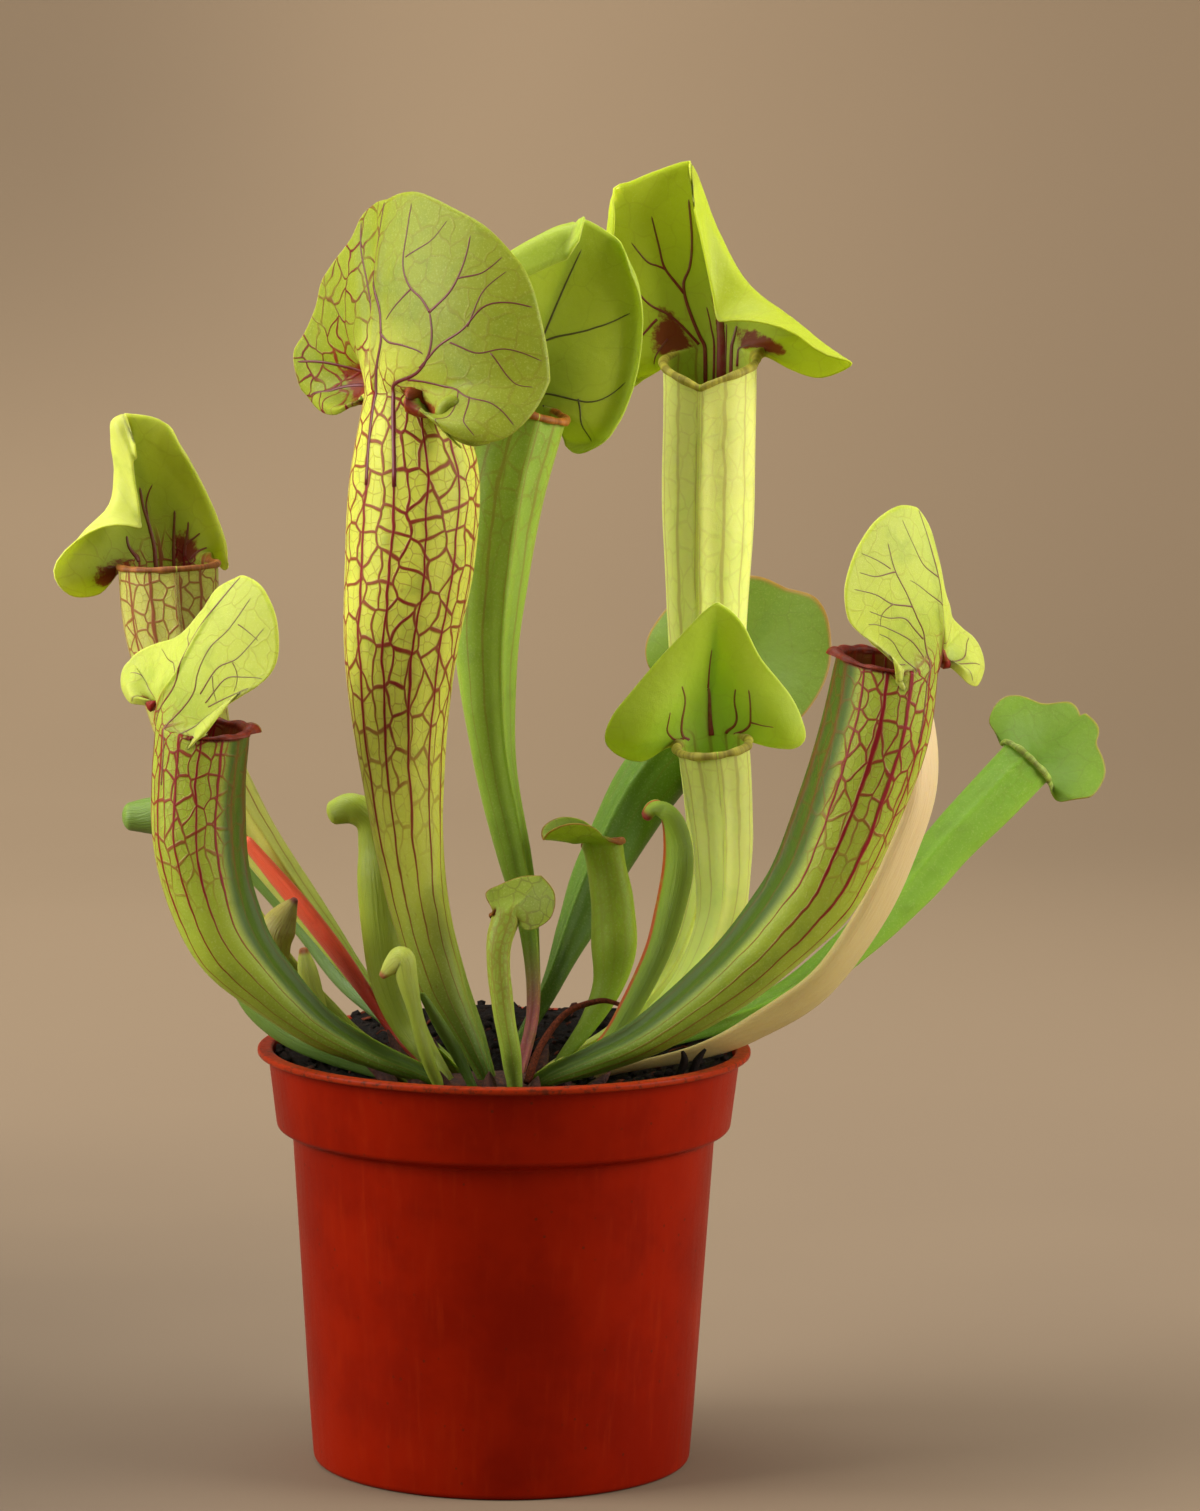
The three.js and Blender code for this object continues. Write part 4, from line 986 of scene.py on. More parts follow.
rear_left_tall_veins = [
    (0.7, [(0, 0.02), (0.02, 0.3), (0.03, 0.6), (0.04, 0.85)]),
    (0.6, [(0.02, 0.3), (0.2, 0.45), (0.3, 0.65), (0.34, 0.85)]),
    (0.6, [(0.4, 0.02), (0.5, 0.3), (0.54, 0.6), (0.5, 0.85)]),
    (0.5, [(0.52, 0.45), (0.66, 0.6), (0.72, 0.82)]),
    (0.6, [(0.7, 0.05), (0.8, 0.35), (0.86, 0.7)]),
    (0.6, [(-0.2, 0.05), (-0.22, 0.35), (-0.28, 0.65)]),
]
piece = pitcher(
    rear_left_tall, {"rise": 3, "column": 58, "cavity": 36}, rear_left_tall_hood, veins=rear_left_tall_veins,
    veins_inside=True,
)
finish_piece(piece, "pitcher_rear_left_tall", plain_green, dim_veins)

# %% The tallest pitcher
rear_right_tall = Leaf(
    "pitcher_rear_right_tall", facing=-103, wing=2, flutes=0.004, bumps=0.2, seed=3, vee=4,
    spine=[
        (11, -12, 98, 1.6), (30, 8, 106, 2.9), (44, 22, 120, 4.9), (51, 32, 144, 6.7), (50, 36, 173, 8.2),
        (49, 38, 203, 9.9), (49, 38, 228, 11.4), (49, 38, 250, 11.4), (49, 38, 264.5, 11.6),
    ],
)
rear_right_tall_hood = Hood(
    facing=-95, tilt=-9, lean=-2, bend=12, cup=(45, 40), left_roll=(25, 20), right_roll=(60, 50),
    left=[
        (0, 47.2), (1.5, 43), (4.4, 30), (10.8, 15.5), (22.7, 5), (30.6, -3), (34.4, -9), (27, -12.5),
        (18.2, -8.5), (13, -4),
    ],
    right=[
        (0, 47.2), (2.5, 47.2), (7.5, 46.5), (13.5, 45.5), (20.5, 43), (24, 32), (28.5, 16), (29.5, 4),
        (25, -5), (18, -4.5), (13, -2),
    ],
    left_fold={"radius": 2.4, "degrees": 155, "flap": 13, "fans": (-0.1, 0.04, 0.2, 0.8)},
    right_fold={"radius": 1.6, "degrees": 140, "flap": 2.2, "fans": (0.34, 0.46, 0.75, 0.92)},
)
rear_right_tall_veins = [
    (1.1, [(-0.28, -0.2), (-0.3, 0.02), (-0.34, 0.15), (-0.32, 0.28), (-0.27, 0.38), (-0.18, 0.46),
           (-0.12, 0.6), (-0.09, 0.8)]),
    (0.8, [(-0.3, 0.34), (-0.35, 0.48), (-0.33, 0.62), (-0.31, 0.78)]),
    (0.6, [(-0.35, 0.48), (-0.42, 0.58), (-0.44, 0.72)]),
    (0.8, [(-0.4, 0.1), (-0.46, 0.25), (-0.52, 0.42), (-0.53, 0.6), (-0.5, 0.75)]),
    (0.7, [(-0.55, 0.4), (-0.62, 0.5), (-0.68, 0.62)]),
    (0.6, [(-0.6, 0.3), (-0.7, 0.35), (-0.78, 0.45)]),
    (2.6, [(0.06, -0.25), (0.06, 0.01), (0.05, 0.12), (0.08, 0.22), (0.12, 0.34)]),
    (1.2, [(0.3, -0.2), (0.3, 0.02), (0.32, 0.14), (0.32, 0.3)]),
    (0.7, [(-0.1, -0.2), (-0.1, 0.02), (-0.14, 0.12), (-0.14, 0.24)]),
    (0.6, [(0.16, -0.15), (0.17, 0.04), (0.19, 0.18)]),
    (0.8, [(0.46, -0.1), (0.48, 0.06), (0.52, 0.2)]),
]
yellow_striped = leaf_material(
    "leaf_yellow_striped", tube=rgb(238, 252, 132), low=rgb(206, 222, 96), hood=rgb(186, 204, 50),
    inside=rgb(166, 182, 34), veins=0.3, net=0.1, hood_net=(0.1, 0.1), hood_vein=rgb(110, 70, 30), fade=0.2,
    pockets=[(-0.6, 0.26, 0.15, 0.15), (0.55, 0.26, 0.2, 0.18), (0.05, 0.14, 0.09, 0.2)],
    lip=rgb(206, 196, 80), patchy=0.12,
)
piece = pitcher(
    rear_right_tall, {"rise": 5, "column": 62, "cavity": 40}, rear_right_tall_hood,
    veins=rear_right_tall_veins, veins_inside=True,
)
finish_piece(piece, "pitcher_rear_right_tall", yellow_striped, brown_veins)

# %% [markdown]
# ## The middle pitchers
#
# A shorter pitcher stands in front of the tallest one, with a spade-shaped hood, and a dark green
# one leans back behind them both.

# %% The shorter pitcher on the right
middle_right = Leaf(
    "pitcher_middle_right", facing=-88, wing=1.8, flutes=0.004, bumps=0.15, seed=4,
    spine=[
        (16, -21, 98, 1.5), (32, -8, 106, 2.9), (45, 2, 117, 4.6), (52, 8, 131, 5.8), (53, 11, 147, 7.1),
        (52, 12, 161, 8), (50.5, 12, 173, 8.9),
    ],
)
middle_right_hood = Hood(
    facing=-88, tilt=9, lean=2, bend=18, cup=(40, 25), left_roll=(60, 50), right_roll=(60, 50),
    left=[
        (0, 34.4), (4, 32), (7.3, 28.4), (11.4, 21.3), (16.2, 15.6), (19.6, 11.2), (22.3, 6), (23.7, 0.9),
        (21, -2), (16.4, -1.6), (11.8, -0.5),
    ],
    right=[
        (0, 34.4), (4, 31), (8.7, 25.9), (14.6, 19.4), (20.6, 11.8), (25.2, 5.2), (26.7, -0.8), (23, -5.4),
        (17, -7), (11.8, -3),
    ],
    left_swells=[(0.5, 0.28, 0.65, 0.32, -3), (0, 0.1, 0.5, 0.4, 1.5)],
    right_swells=[(0.5, 0.28, 0.65, 0.32, -3), (0, 0.1, 0.5, 0.4, 1.5)],
)
yellow_green = leaf_material(
    "leaf_yellow_green", tube=rgb(234, 252, 134), low=rgb(206, 224, 98), hood=rgb(196, 220, 80),
    inside=rgb(178, 212, 58), veins=0.3, net=0.1, hood_net=(0.05, 0.05), fade=0.55,
    lip=rgb(214, 204, 92), patchy=0.12,
)
middle_right_veins = [
    (0.9, [(-0.66, 0.05), (-0.64, 0.16), (-0.42, 0.3), (-0.31, 0.42), (-0.29, 0.6)]),
    (0.7, [(-0.8, 0.1), (-0.68, 0.24), (-0.5, 0.4), (-0.42, 0.5)]),
    (1.5, [(0.06, 0.01), (0.07, 0.12), (0.02, 0.24), (-0.05, 0.36)]),
    (0.6, [(-0.05, 0.36), (-0.04, 0.5), (-0.02, 0.64)]),
    (0.8, [(0.5, 0.05), (0.48, 0.22), (0.3, 0.4), (0.26, 0.52)]),
    (0.8, [(0.66, 0.12), (0.56, 0.3), (0.42, 0.5), (0.33, 0.66)]),
    (0.5, [(0.5, 0.4), (0.56, 0.5), (0.6, 0.62)]),
]
piece = pitcher(
    middle_right, {"rise": 3, "column": 62, "cavity": 30}, middle_right_hood, veins=middle_right_veins,
    veins_inside=True,
)
finish_piece(piece, "pitcher_middle_right", yellow_green, rust_veins)

# %% The dark green pitcher at the back
rear_right = Leaf(
    "pitcher_rear_right", facing=-110, wing=1.8, bumps=0.2, seed=5,
    spine=[
        (2, -8, 100, 1.3), (11, 10, 115, 2.4), (17, 20, 128, 4.7), (23, 30, 141, 6.4), (32, 40, 157, 8),
        (41, 48, 169, 8.5), (48, 53, 180, 8.6),
    ],
)
rear_right_hood = Hood(
    facing=-100, tilt=0, lean=-4, bend=5, cup=(45, 20), left_roll=(50, 40), right_roll=(60, 40),
    left=[(0, 37), (8, 38), (15, 33), (21, 22), (23, 8), (20, -3), (12, -2)],
    right=[(0, 37), (8, 36), (17, 30), (23, 22), (24, 8), (20, 0), (12, -2)],
)
dark_green = leaf_material(
    "leaf_dark_green", tube=rgb(100, 136, 40), low=rgb(78, 108, 34), hood=rgb(110, 138, 42),
    inside=rgb(108, 134, 42), veins=0.12, net=0.1, hood_net=(0.12, 0.12), edge=rgb(150, 100, 40), fade=0.6,
)
piece = pitcher(rear_right, {"rise": 3, "column": 62, "cavity": 26}, rear_right_hood)
finish_piece(piece, "pitcher_rear_right", dark_green)

# %% [markdown]
# ## The pitchers that lean out
#
# On each side a large veined pitcher leans out and turns its back to us. Their lips are dark red
# and roll outward, and the inner side of each tube keeps a plain dark green strip, partly its own
# colour and partly painted shade.

# %% The pitcher leaning right
right = Leaf(
    "pitcher_right", facing=172, wing=2.4, flutes=0.006, bumps=0.2, seed=6, slant=1.8,
    spine=[
        (10, -29, 98, 1.6), (23, -31, 103.5, 3), (37, -33, 110.5, 4.3), (55, -33, 124, 7.1),
        (68, -32, 137, 9.2), (76, -31, 148, 10.9), (83, -30, 165, 12.1), (88.8, -29, 184, 12.8),
        (91, -28, 200, 12.4),
    ],
)
right_hood = Hood(
    facing=145, tilt=-17, lean=-12, bend=36, cup=(30, 25), right_cup=(60, 40), left_roll=(10, 0),
    right_roll=(80, 50),
    left=[
        (0, 40.4), (5, 42.4), (10.3, 42.4), (16, 40.8), (22.5, 36.5), (27.3, 30.6), (29, 25.7),
        (28.8, 20), (26, 15.7), (21.4, 11.3), (17.1, 7.8), (15.4, 3), (14.8, -1), (14, -3), (13.2, -1),
    ],
    right=[
        (0, 40.4), (2.5, 35), (3, 26), (5, 17), (16, 9.5), (27, 1.5), (30, -4), (27.5, -10.5), (21, -13),
        (15, -9), (13.5, -3),
    ],
    left_swells=[(0.85, 0.2, 0.7, 0.5, 2)],
    right_swells=[(0.8, 0.2, 0.2, 0.15, -3), (0.75, 0.25, 0.7, 0.3, 3)],
)
right_veins = [
    (0.6, [(0, -0.5), (0, -0.1), (-0.02, 0.3), (-0.01, 0.52), (0.01, 0.7), (0, 0.87), (-0.01, 0.99)]),
    (0.55, [(0.48, -0.4), (0.5, -0.1), (0.36, 0.16), (0.24, 0.3), (0.23, 0.5), (0.23, 0.7), (0.2, 0.86)]),
    (0.42, [(0.23, 0.46), (0.3, 0.58), (0.33, 0.74), (0.37, 0.92)]),
    (0.38, [(0.23, 0.7), (0.29, 0.79), (0.32, 0.92)]),
    (0.32, [(0.24, 0.74), (0.26, 0.85), (0.28, 0.96)]),
    (0.35, [(-0.01, 0.41), (0.1, 0.48), (0.19, 0.6)]),
    (0.35, [(0, 0.57), (0.08, 0.64), (0.1, 0.78), (0.1, 0.92)]),
    (0.4, [(0.28, 0.26), (0.28, 0.42), (0.35, 0.56), (0.4, 0.74)]),
    (0.38, [(0.42, 0.18), (0.34, 0.32), (0.39, 0.52), (0.46, 0.74)]),
    (0.38, [(0.78, 0.06), (0.58, 0.26), (0.44, 0.4), (0.46, 0.6)]),
    (0.32, [(0.6, 0.3), (0.66, 0.5), (0.68, 0.72)]),
    (0.35, [(0.3, 0.58), (0.36, 0.62), (0.42, 0.6)]),
    (0.45, [(-0.75, 0.2), (-0.72, 0.45), (-0.62, 0.68), (-0.57, 0.9)]),
    (0.45, [(-0.8, 0.28), (-0.74, 0.6), (-0.7, 0.88)]),
    (0.4, [(-0.85, 0.3), (-0.85, 0.6), (-0.84, 0.9)]),
    (0.35, [(-0.3, 0.3), (-0.4, 0.55), (-0.42, 0.85)]),
]
left_veins = [
    (0.65, [(0, -0.5), (-0.02, -0.1), (-0.12, 0.22), (0, 0.42), (0.03, 0.63), (-0.03, 0.83), (-0.06, 0.99)]),
    (0.5, [(-0.5, -0.4), (-0.5, -0.1), (-0.3, 0.3), (-0.2, 0.42), (-0.16, 0.56), (-0.18, 0.72),
           (-0.16, 0.92)]),
    (0.42, [(-0.3, 0.38), (-0.27, 0.54), (-0.3, 0.7), (-0.28, 0.92)]),
    (0.38, [(-0.36, 0.4), (-0.33, 0.58), (-0.38, 0.75), (-0.45, 0.95)]),
    (0.36, [(-0.4, 0.42), (-0.43, 0.62), (-0.46, 0.84)]),
    (0.32, [(-0.2, 0.78), (-0.26, 0.82), (-0.3, 0.86)]),
    (0.32, [(-0.3, 0.66), (-0.35, 0.68), (-0.42, 0.66)]),
    (0.35, [(-0.7, 0.1), (-0.6, 0.3), (-0.55, 0.5), (-0.55, 0.8)]),
    (0.32, [(-0.28, 0.5), (-0.34, 0.48), (-0.42, 0.5)]),
    (0.45, [(0.45, 0.1), (0.6, 0.35), (0.62, 0.55), (0.68, 0.8)]),
    (0.45, [(0.6, 0.1), (0.8, 0.35), (0.88, 0.6), (0.9, 0.9)]),
    (0.4, [(0.7, 0.15), (0.83, 0.3), (0.97, 0.5), (0.99, 0.8)]),
    (0.38, [(0.03, 0.36), (0.2, 0.5), (0.34, 0.7), (0.42, 0.9)]),
    (0.32, [(0.04, 0.55), (0.16, 0.7), (0.25, 0.9)]),
]
veined_side = leaf_material(
    "leaf_veined_side", tube=rgb(164, 180, 54), low=rgb(84, 118, 22), hood=rgb(188, 202, 84),
    inside=rgb(128, 62, 26), front=rgb(72, 98, 20), front_from=2.0, lip=rgb(132, 38, 8), lip_reach=1.6,
    pockets=[(-0.82, 0.26, 0.14, 0.16), (0.82, 0.26, 0.14, 0.16)], hood_net=(0.16, 0.16), hood_cell=5,
    fade=0.42, lanes=0.5, hood_vein=rgb(128, 50, 40),
)
thin_lip = {"size": 0.5, "flare": 1.8, "uneven": 0.25, "sweep": 170}
piece = pitcher(
    right, {"rise": -1, "column": 66, "cavity": 40}, right_hood, thin_lip, around=160, veins=right_veins,
)
finish_piece(piece, "pitcher_right", veined_side, maroon_veins)

# %% The pitcher leaning left
left = Leaf(
    "pitcher_left", facing=10, wing=2.4, flutes=0.006, bumps=0.2, seed=7, slant=-1.8,
    spine=[
        (-17, -29, 98, 1.6), (-32, -32, 104.5, 2.6), (-45, -34, 111.5, 4), (-56, -35, 121, 6.4),
        (-65, -35, 131, 8.5), (-70, -34, 142, 9.7), (-73, -33, 156, 10.7), (-73, -32, 170, 10.9),
        (-71.8, -31, 183, 11.4),
    ],
)
left_hood = Hood(
    facing=40, tilt=31, lean=-10, bend=23, cup=(60, 40), right_cup=(30, 25), left_roll=(80, 50),
    right_roll=(10, 0),
    left=[
        (0, 43.8), (3.3, 38), (3.7, 31), (7.5, 21.8), (20, 11), (26.5, 3), (26.8, -2.6), (22.3, -6.5),
        (16, -6), (12.5, -2),
    ],
    right=[
        (0, 43.8), (1.7, 46), (6.5, 47.4), (11, 46.6), (16, 44), (20.8, 38.7), (22.4, 33.7), (21.3, 28.2),
        (19.2, 25.7), (17.5, 21.6), (16.4, 15.4), (15, 9.8), (13, 4.9), (12.5, 0), (12.5, -2),
    ],
    left_swells=[(0.8, 0.2, 0.2, 0.15, -3), (0.75, 0.25, 0.7, 0.3, 3)],
    right_swells=[(0.85, 0.2, 0.7, 0.5, 2)],
)
piece = pitcher(
    left, {"rise": -1, "column": 66, "cavity": 38}, left_hood, thin_lip, around=160, veins=left_veins,
)
finish_piece(piece, "pitcher_left", veined_side, maroon_veins)

# %% The pitcher at the back left
rear_left = Leaf(
    "pitcher_rear_left", facing=-77, wing=1.8, flutes=0.006, bumps=0.2, seed=8,
    spine=[
        (-12, -13, 99, 1.4), (-31, 6, 112, 2.2), (-44, 14, 127, 3.7), (-56, 19, 142, 4.9),
        (-66, 22, 156, 6.4), (-75.5, 25, 171, 8.6), (-80, 27, 185, 10.3), (-83, 29, 201, 11.8),
        (-84, 30, 215, 12.3),
    ],
)
rear_left_hood = Hood(
    facing=-80, tilt=-12, lean=0, bend=12, cup=(45, 40), left_roll=(60, 50), right_roll=(25, 20),
    left=[(0, 38), (8.5, 34.3), (11.8, 26.7), (13.9, 18.6), (15.6, 9), (16.3, -0.2), (14.7, -6), (12.5, -3)],
    right=[
        (0, 38), (3.5, 37.5), (5, 32), (6, 25.2), (10, 17.2), (19.3, 12.2), (27.8, 5), (26.7, -2.4),
        (19.3, -4.5), (13.5, -2),
    ],
    right_fold={"radius": 2.2, "degrees": 155, "flap": 10, "fans": (-0.1, 0.05, 0.35, 0.8)},
    left_fold={"radius": 1.4, "degrees": 120, "flap": 1.5, "fans": (0.15, 0.3, 0.75, 0.95)},
)
veined_back = leaf_material(
    "leaf_veined_back", tube=rgb(196, 196, 96), low=rgb(130, 160, 50), hood=rgb(212, 226, 98),
    inside=rgb(160, 172, 42), pockets=[(-0.85, 0.25, 0.26, 0.32), (0.5, 0.12, 0.24, 0.18)],
    hood_net=(0.1, 0.1), hood_vein=rgb(110, 70, 30), veins=0.8, net=0.8, fade=0.45, lip=rgb(168, 104, 48),
)
rear_left_veins = [
    (1.3, [(-0.1, -0.2), (-0.11, 0.01), (-0.1, 0.16), (-0.06, 0.3), (-0.02, 0.5)]),
    (0.7, [(-0.1, 0.2), (-0.02, 0.34), (0.08, 0.52)]),
    (1.3, [(-0.5, 0.02), (-0.5, 0.15), (-0.46, 0.3), (-0.42, 0.44)]),
    (1.1, [(0.26, -0.15), (0.27, 0.04), (0.27, 0.2), (0.26, 0.4)]),
    (0.9, [(0.5, 0.06), (0.47, 0.22), (0.43, 0.42)]),
    (0.7, [(0.48, 0.2), (0.54, 0.32), (0.57, 0.46)]),
    (0.8, [(0.64, 0.04), (0.68, 0.2), (0.7, 0.38)]),
    (0.8, [(-0.66, 0.05), (-0.68, 0.2), (-0.66, 0.35)]),
]
piece = pitcher(
    rear_left, {"rise": 2, "column": 62, "cavity": 36}, rear_left_hood, {"size": 0.5}, veins=rear_left_veins,
    veins_inside=True,
)
finish_piece(piece, "pitcher_rear_left", veined_back, brown_veins)

# %% The green pitcher at the far right
far_right = Leaf(
    "pitcher_far_right", facing=-100, depth=0.85, wing=1.4, bumps=0.15, seed=9,
    spine=[
        (19, -4, 98, 1.4), (45, 10, 104, 2.4), (68, 18, 111, 3.9), (87, 26, 125, 4.9), (100, 32, 137, 5.7),
        (109, 36, 147, 6.2), (119, 40, 157, 6.7), (129, 44, 167, 7),
    ],
)
far_right_hood = Hood(
    facing=-95, tilt=0, lean=-4, bend=-10, cup=(45, 25), left_roll=(40, 40), right_roll=(50, 50),
    left=[(0, 21), (6, 21), (9, 16), (16, 11), (18, 4), (14, -2), (10, -1)],
    right=[(0, 21), (5, 20), (10, 15), (17, 9), (15, 1), (10, -1)],
    ripple=0.8,
)
fresh_green = leaf_material(
    "leaf_fresh_green", tube=rgb(140, 186, 60), low=rgb(112, 160, 50), hood=rgb(122, 158, 48),
    inside=rgb(120, 156, 48), veins=0.0, net=0.08, hood_net=(0.1, 0.1), edge=rgb(140, 124, 50),
    fade=0.6, lip=rgb(170, 196, 90),
)
piece = pitcher(far_right, {"rise": 0.5, "column": 75, "cavity": 18}, far_right_hood, around=112)
finish_piece(piece, "pitcher_far_right", fresh_green)

# %% [markdown]
# ## Dead, young and closed leaves
#
# A dead leaf dries to a papery cream sheath, and a coloured one glows salmon red. The young
# pitchers are still closed, so they are small spindles with pointed tips.

# %% The flat, dried and unopened leaves
def simple_material(name, base, tip, dark, streak, roughness, seam=None, end=None):
    """A plain leaf: a blend from base to tip, with lengthwise streaks and blotches.

    seam is a coloured line along the leaf, as its lane and colour. end colours the last of the tip."""
    p = Paint(name)
    lane, _, _ = p.numbers("vein_lane")
    _, down, t = p.numbers("leaf_zone")
    place = p.place()
    lines = p.noise(p.vector(p.times(lane, 5.0), p.times(down, 0.05)), 1.98, 3.0, 0.6)
    blots = p.noise(place, 0.25, 3.0, 0.6)
    colour = p.blend(base, tip, p.step(t, 0.35, 0.95))
    colour = p.blend(colour, rgb(84, 44, 24), p.step(t, 0.14, 0.02, 0, 0.8))
    colour = p.blend(colour, dark, p.step(lines, 0.48, 0.75, 0, streak))
    colour = p.blend(colour, dark, p.step(blots, 0.58, 0.8, 0, streak))
    if seam:
        beside = p.apart(p.math("ABSOLUTE", lane), seam[0])
        colour = p.blend(colour, seam[1], p.times(p.step(beside, 0.3, 0.12), p.step(blots, 0.3, 0.5, 0.5, 1)))
    if end:
        colour = p.blend(colour, end, p.step(t, 0.94, 0.99))
    grain = p.noise(place, 3.5, 3.0, 0.6)
    p.glow(0.6, (1.0, 0.8, 0.4), 0.002)
    relief = p.bump(grain, 0.00015, 0.5, p.bump(lines, 0.0006, 0.6))
    return p.finish(colour, p.step(grain, 0.2, 0.8, roughness - 0.08, roughness + 0.1), relief)


cream = simple_material(
    "leaf_dried_cream", rgb(196, 178, 112), rgb(226, 200, 152), rgb(196, 158, 110), 0.35, 0.45)
salmon = simple_material("leaf_salmon_red", rgb(206, 64, 44), rgb(236, 100, 62), rgb(150, 40, 26), 0.3, 0.35)
olive = simple_material(
    "leaf_olive_brown", rgb(132, 140, 46), rgb(160, 150, 62), rgb(128, 74, 40), 0.55, 0.45,
    end=rgb(112, 40, 20))
young_green = simple_material(
    "leaf_young_green", rgb(150, 168, 54), rgb(196, 206, 88), rgb(126, 132, 44), 0.3, 0.4,
    end=rgb(176, 110, 60))
keeled_green = simple_material(
    "leaf_keeled_green", rgb(164, 182, 50), rgb(172, 192, 62), rgb(138, 158, 42), 0.3, 0.4)
deep_green = simple_material(
    "leaf_deep_green", rgb(92, 124, 40), rgb(120, 152, 54), rgb(64, 88, 30), 0.35, 0.42)
red_tipped = simple_material(
    "leaf_red_tipped", rgb(140, 172, 46), rgb(158, 190, 54), rgb(112, 138, 40), 0.3, 0.42,
    seam=(3.05, rgb(196, 84, 30)), end=rgb(150, 50, 30))

closed_leaves = [
    (Leaf("leaf_withered", 150, depth=0.35, bumps=0.3, seed=11, spine=[
        (23, -18, 98, 1.4), (46, -17, 103.5, 2.8), (62, -13, 110, 5), (76, -9, 119, 6.7),
        (87, -6, 133, 7.3), (95, -4, 149, 7.3), (101, -2, 167, 6.6), (99, 0, 187, 5.5), (91, 2, 205, 4),
    ]), cream, "leaf_withered"),
    (Leaf("pitcher_far_left", 0, depth=0.9, seed=12, spine=[
        (-16, -8, 98, 1.3), (-27, 6, 105.5, 1.7), (-40, 20, 114, 2.2), (-51, 30, 127, 3),
        (-63, 36, 140, 3.7), (-76, 40, 149, 4.6), (-86, 42, 152, 5.5), (-94, 42, 152, 4),
    ]), deep_green, "leaf_green"),
    (Leaf("leaf_red", 20, depth=0.45, seed=13, spine=[
        (-17, -17, 98, 1.4), (-26, -6, 105, 1.9), (-33, -1, 114, 3.1), (-40, 3, 123, 4.2),
        (-49, 6, 134, 4.4), (-57, 8, 143, 3.9), (-63, 9, 150, 3),
    ]), salmon, "leaf_red"),
    (Leaf("pitcher_behind_front", 30, depth=0.9, wing=1.2, seed=14, spine=[
        (-14, -22, 98, 1.4), (-22.5, -10, 107, 3.8), (-27, -5, 118, 5.8), (-29, -3, 131, 6.3),
        (-30.4, -2, 143, 6), (-31.5, -1, 151, 4.6), (-33, -1, 157, 3.8), (-37, -1, 160, 4),
        (-41.5, -1, 159, 3),
    ]), keeled_green, "leaf_green"),
    (Leaf("pitcher_young_brown", 30, depth=0.9, seed=15, spine=[
        (-25, -19, 97.5, 1.2), (-39, -15, 103, 1.4), (-49, -13, 111, 1.9), (-53.5, -11, 119, 2.2),
        (-55, -11, 127, 3.8), (-54.5, -11, 132, 4.6), (-52.5, -11, 136, 3), (-50.5, -11, 139, 0.9),
    ]), olive, "leaf_brown"),
    (Leaf("pitcher_young_green", 30, depth=0.9, seed=16, spine=[
        (-23, -24, 97.5, 1.2), (-34, -22, 103.5, 1.4), (-42, -20, 109.5, 1.7), (-45, -19, 116, 2.4),
        (-47, -19, 123, 2.6), (-48, -19, 128, 1.2),
    ]), young_green, "leaf_green"),
    (Leaf("pitcher_young_front", 60, depth=0.9, seed=17, spine=[
        (-15, -32, 98, 1.5), (-18, -36, 106, 1.7), (-20.5, -37, 116, 1.8), (-22.5, -37, 124, 2.6),
        (-23.6, -37, 129, 2.9), (-25.8, -37, 127.6, 2.4), (-28.4, -37, 124.8, 0.9),
    ]), young_green, "leaf_green"),
    (Leaf("pitcher_red_tip", 170, depth=0.9, wing=0.8, seed=18, spine=[
        (15, -24, 98, 1.4), (25, -21, 106, 2.1), (31, -18, 115, 2.6), (37, -15, 127, 3.1),
        (40, -14, 137, 3.6), (42, -14, 148, 3.8), (41.5, -14, 156, 3.2), (39.5, -15, 161, 2.4),
        (36, -15, 162.5, 1.9), (34, -15, 160.5, 1.4),
    ]), red_tipped, "leaf_green"),
    (Leaf("leaf_low_left", 60, depth=0.5, seed=19, spine=[
        (-22, -22, 97, 1.4), (-33, -19, 99.5, 2), (-45, -16, 103, 2.4), (-54, -12, 107, 2.8),
        (-61, -9, 113, 3), (-65, -8, 122, 3.2), (-68, -8, 133, 2.4),
    ]), deep_green, "leaf_green"),
    (Leaf("leaf_left_behind", 40, depth=0.5, seed=20, spine=[
        (-20, -15, 98, 1.2), (-34, -9, 105, 1.9), (-42, -7, 112, 2.4), (-50, -5, 120, 2.6),
        (-57, -4, 129, 2.7), (-62, -3, 138, 1.6),
    ]), young_green, "leaf_green"),
    (Leaf("leaf_narrow", 60, depth=0.5, seed=21, spine=[
        (-7, -32, 97.5, 1.3), (-11, -33, 106, 1.8), (-15, -34, 113, 1.8), (-19, -35, 120, 1),
    ]), deep_green, "leaf_green"),
]
for leaf, material, slot in closed_leaves:
    finish_piece(closed_leaf(leaf), leaf.name, material)

# %% The two small open pitchers
small_front = Leaf(
    "pitcher_small_front", facing=100, wing=0.8, wall=0.8, bumps=0.1, seed=22,
    spine=[
        (3, -31, 97.5, 1.9), (2, -36, 107, 2.4), (0, -37, 119, 2.6), (-1, -37, 131, 2.9),
        (0.5, -36, 138, 3.4),
    ],
)
small_front_hood = Hood(
    facing=85, tilt=24, lean=10, bend=30, cup=(40, 20), left_roll=(60, 20), right_roll=(40, 20),
    left=[(0, 13.5), (3.5, 10), (6.5, 5), (8, 1), (5, -1)],
    right=[(0, 13.5), (5, 12.5), (8, 7), (7, 2), (4.5, -0.6)],
    keel=0.3,
)
young_veined = leaf_material(
    "leaf_young_veined", tube=rgb(150, 172, 60), low=rgb(120, 146, 48), hood=rgb(140, 156, 50),
    veins=0.3, net=0.25, hood_net=(0.4, 0.4), lanes=0.7, cell=1.6, hood_cell=3, edge=rgb(120, 60, 30),
    lip=rgb(150, 90, 40), line_width=0.2,
)
piece = pitcher(
    small_front, {"rise": 1.5, "column": 66, "cavity": 6}, small_front_hood, {"size": 0.4}, around=72,
    tube_rows=60, ray_rows=18, inner_rows=8,
)
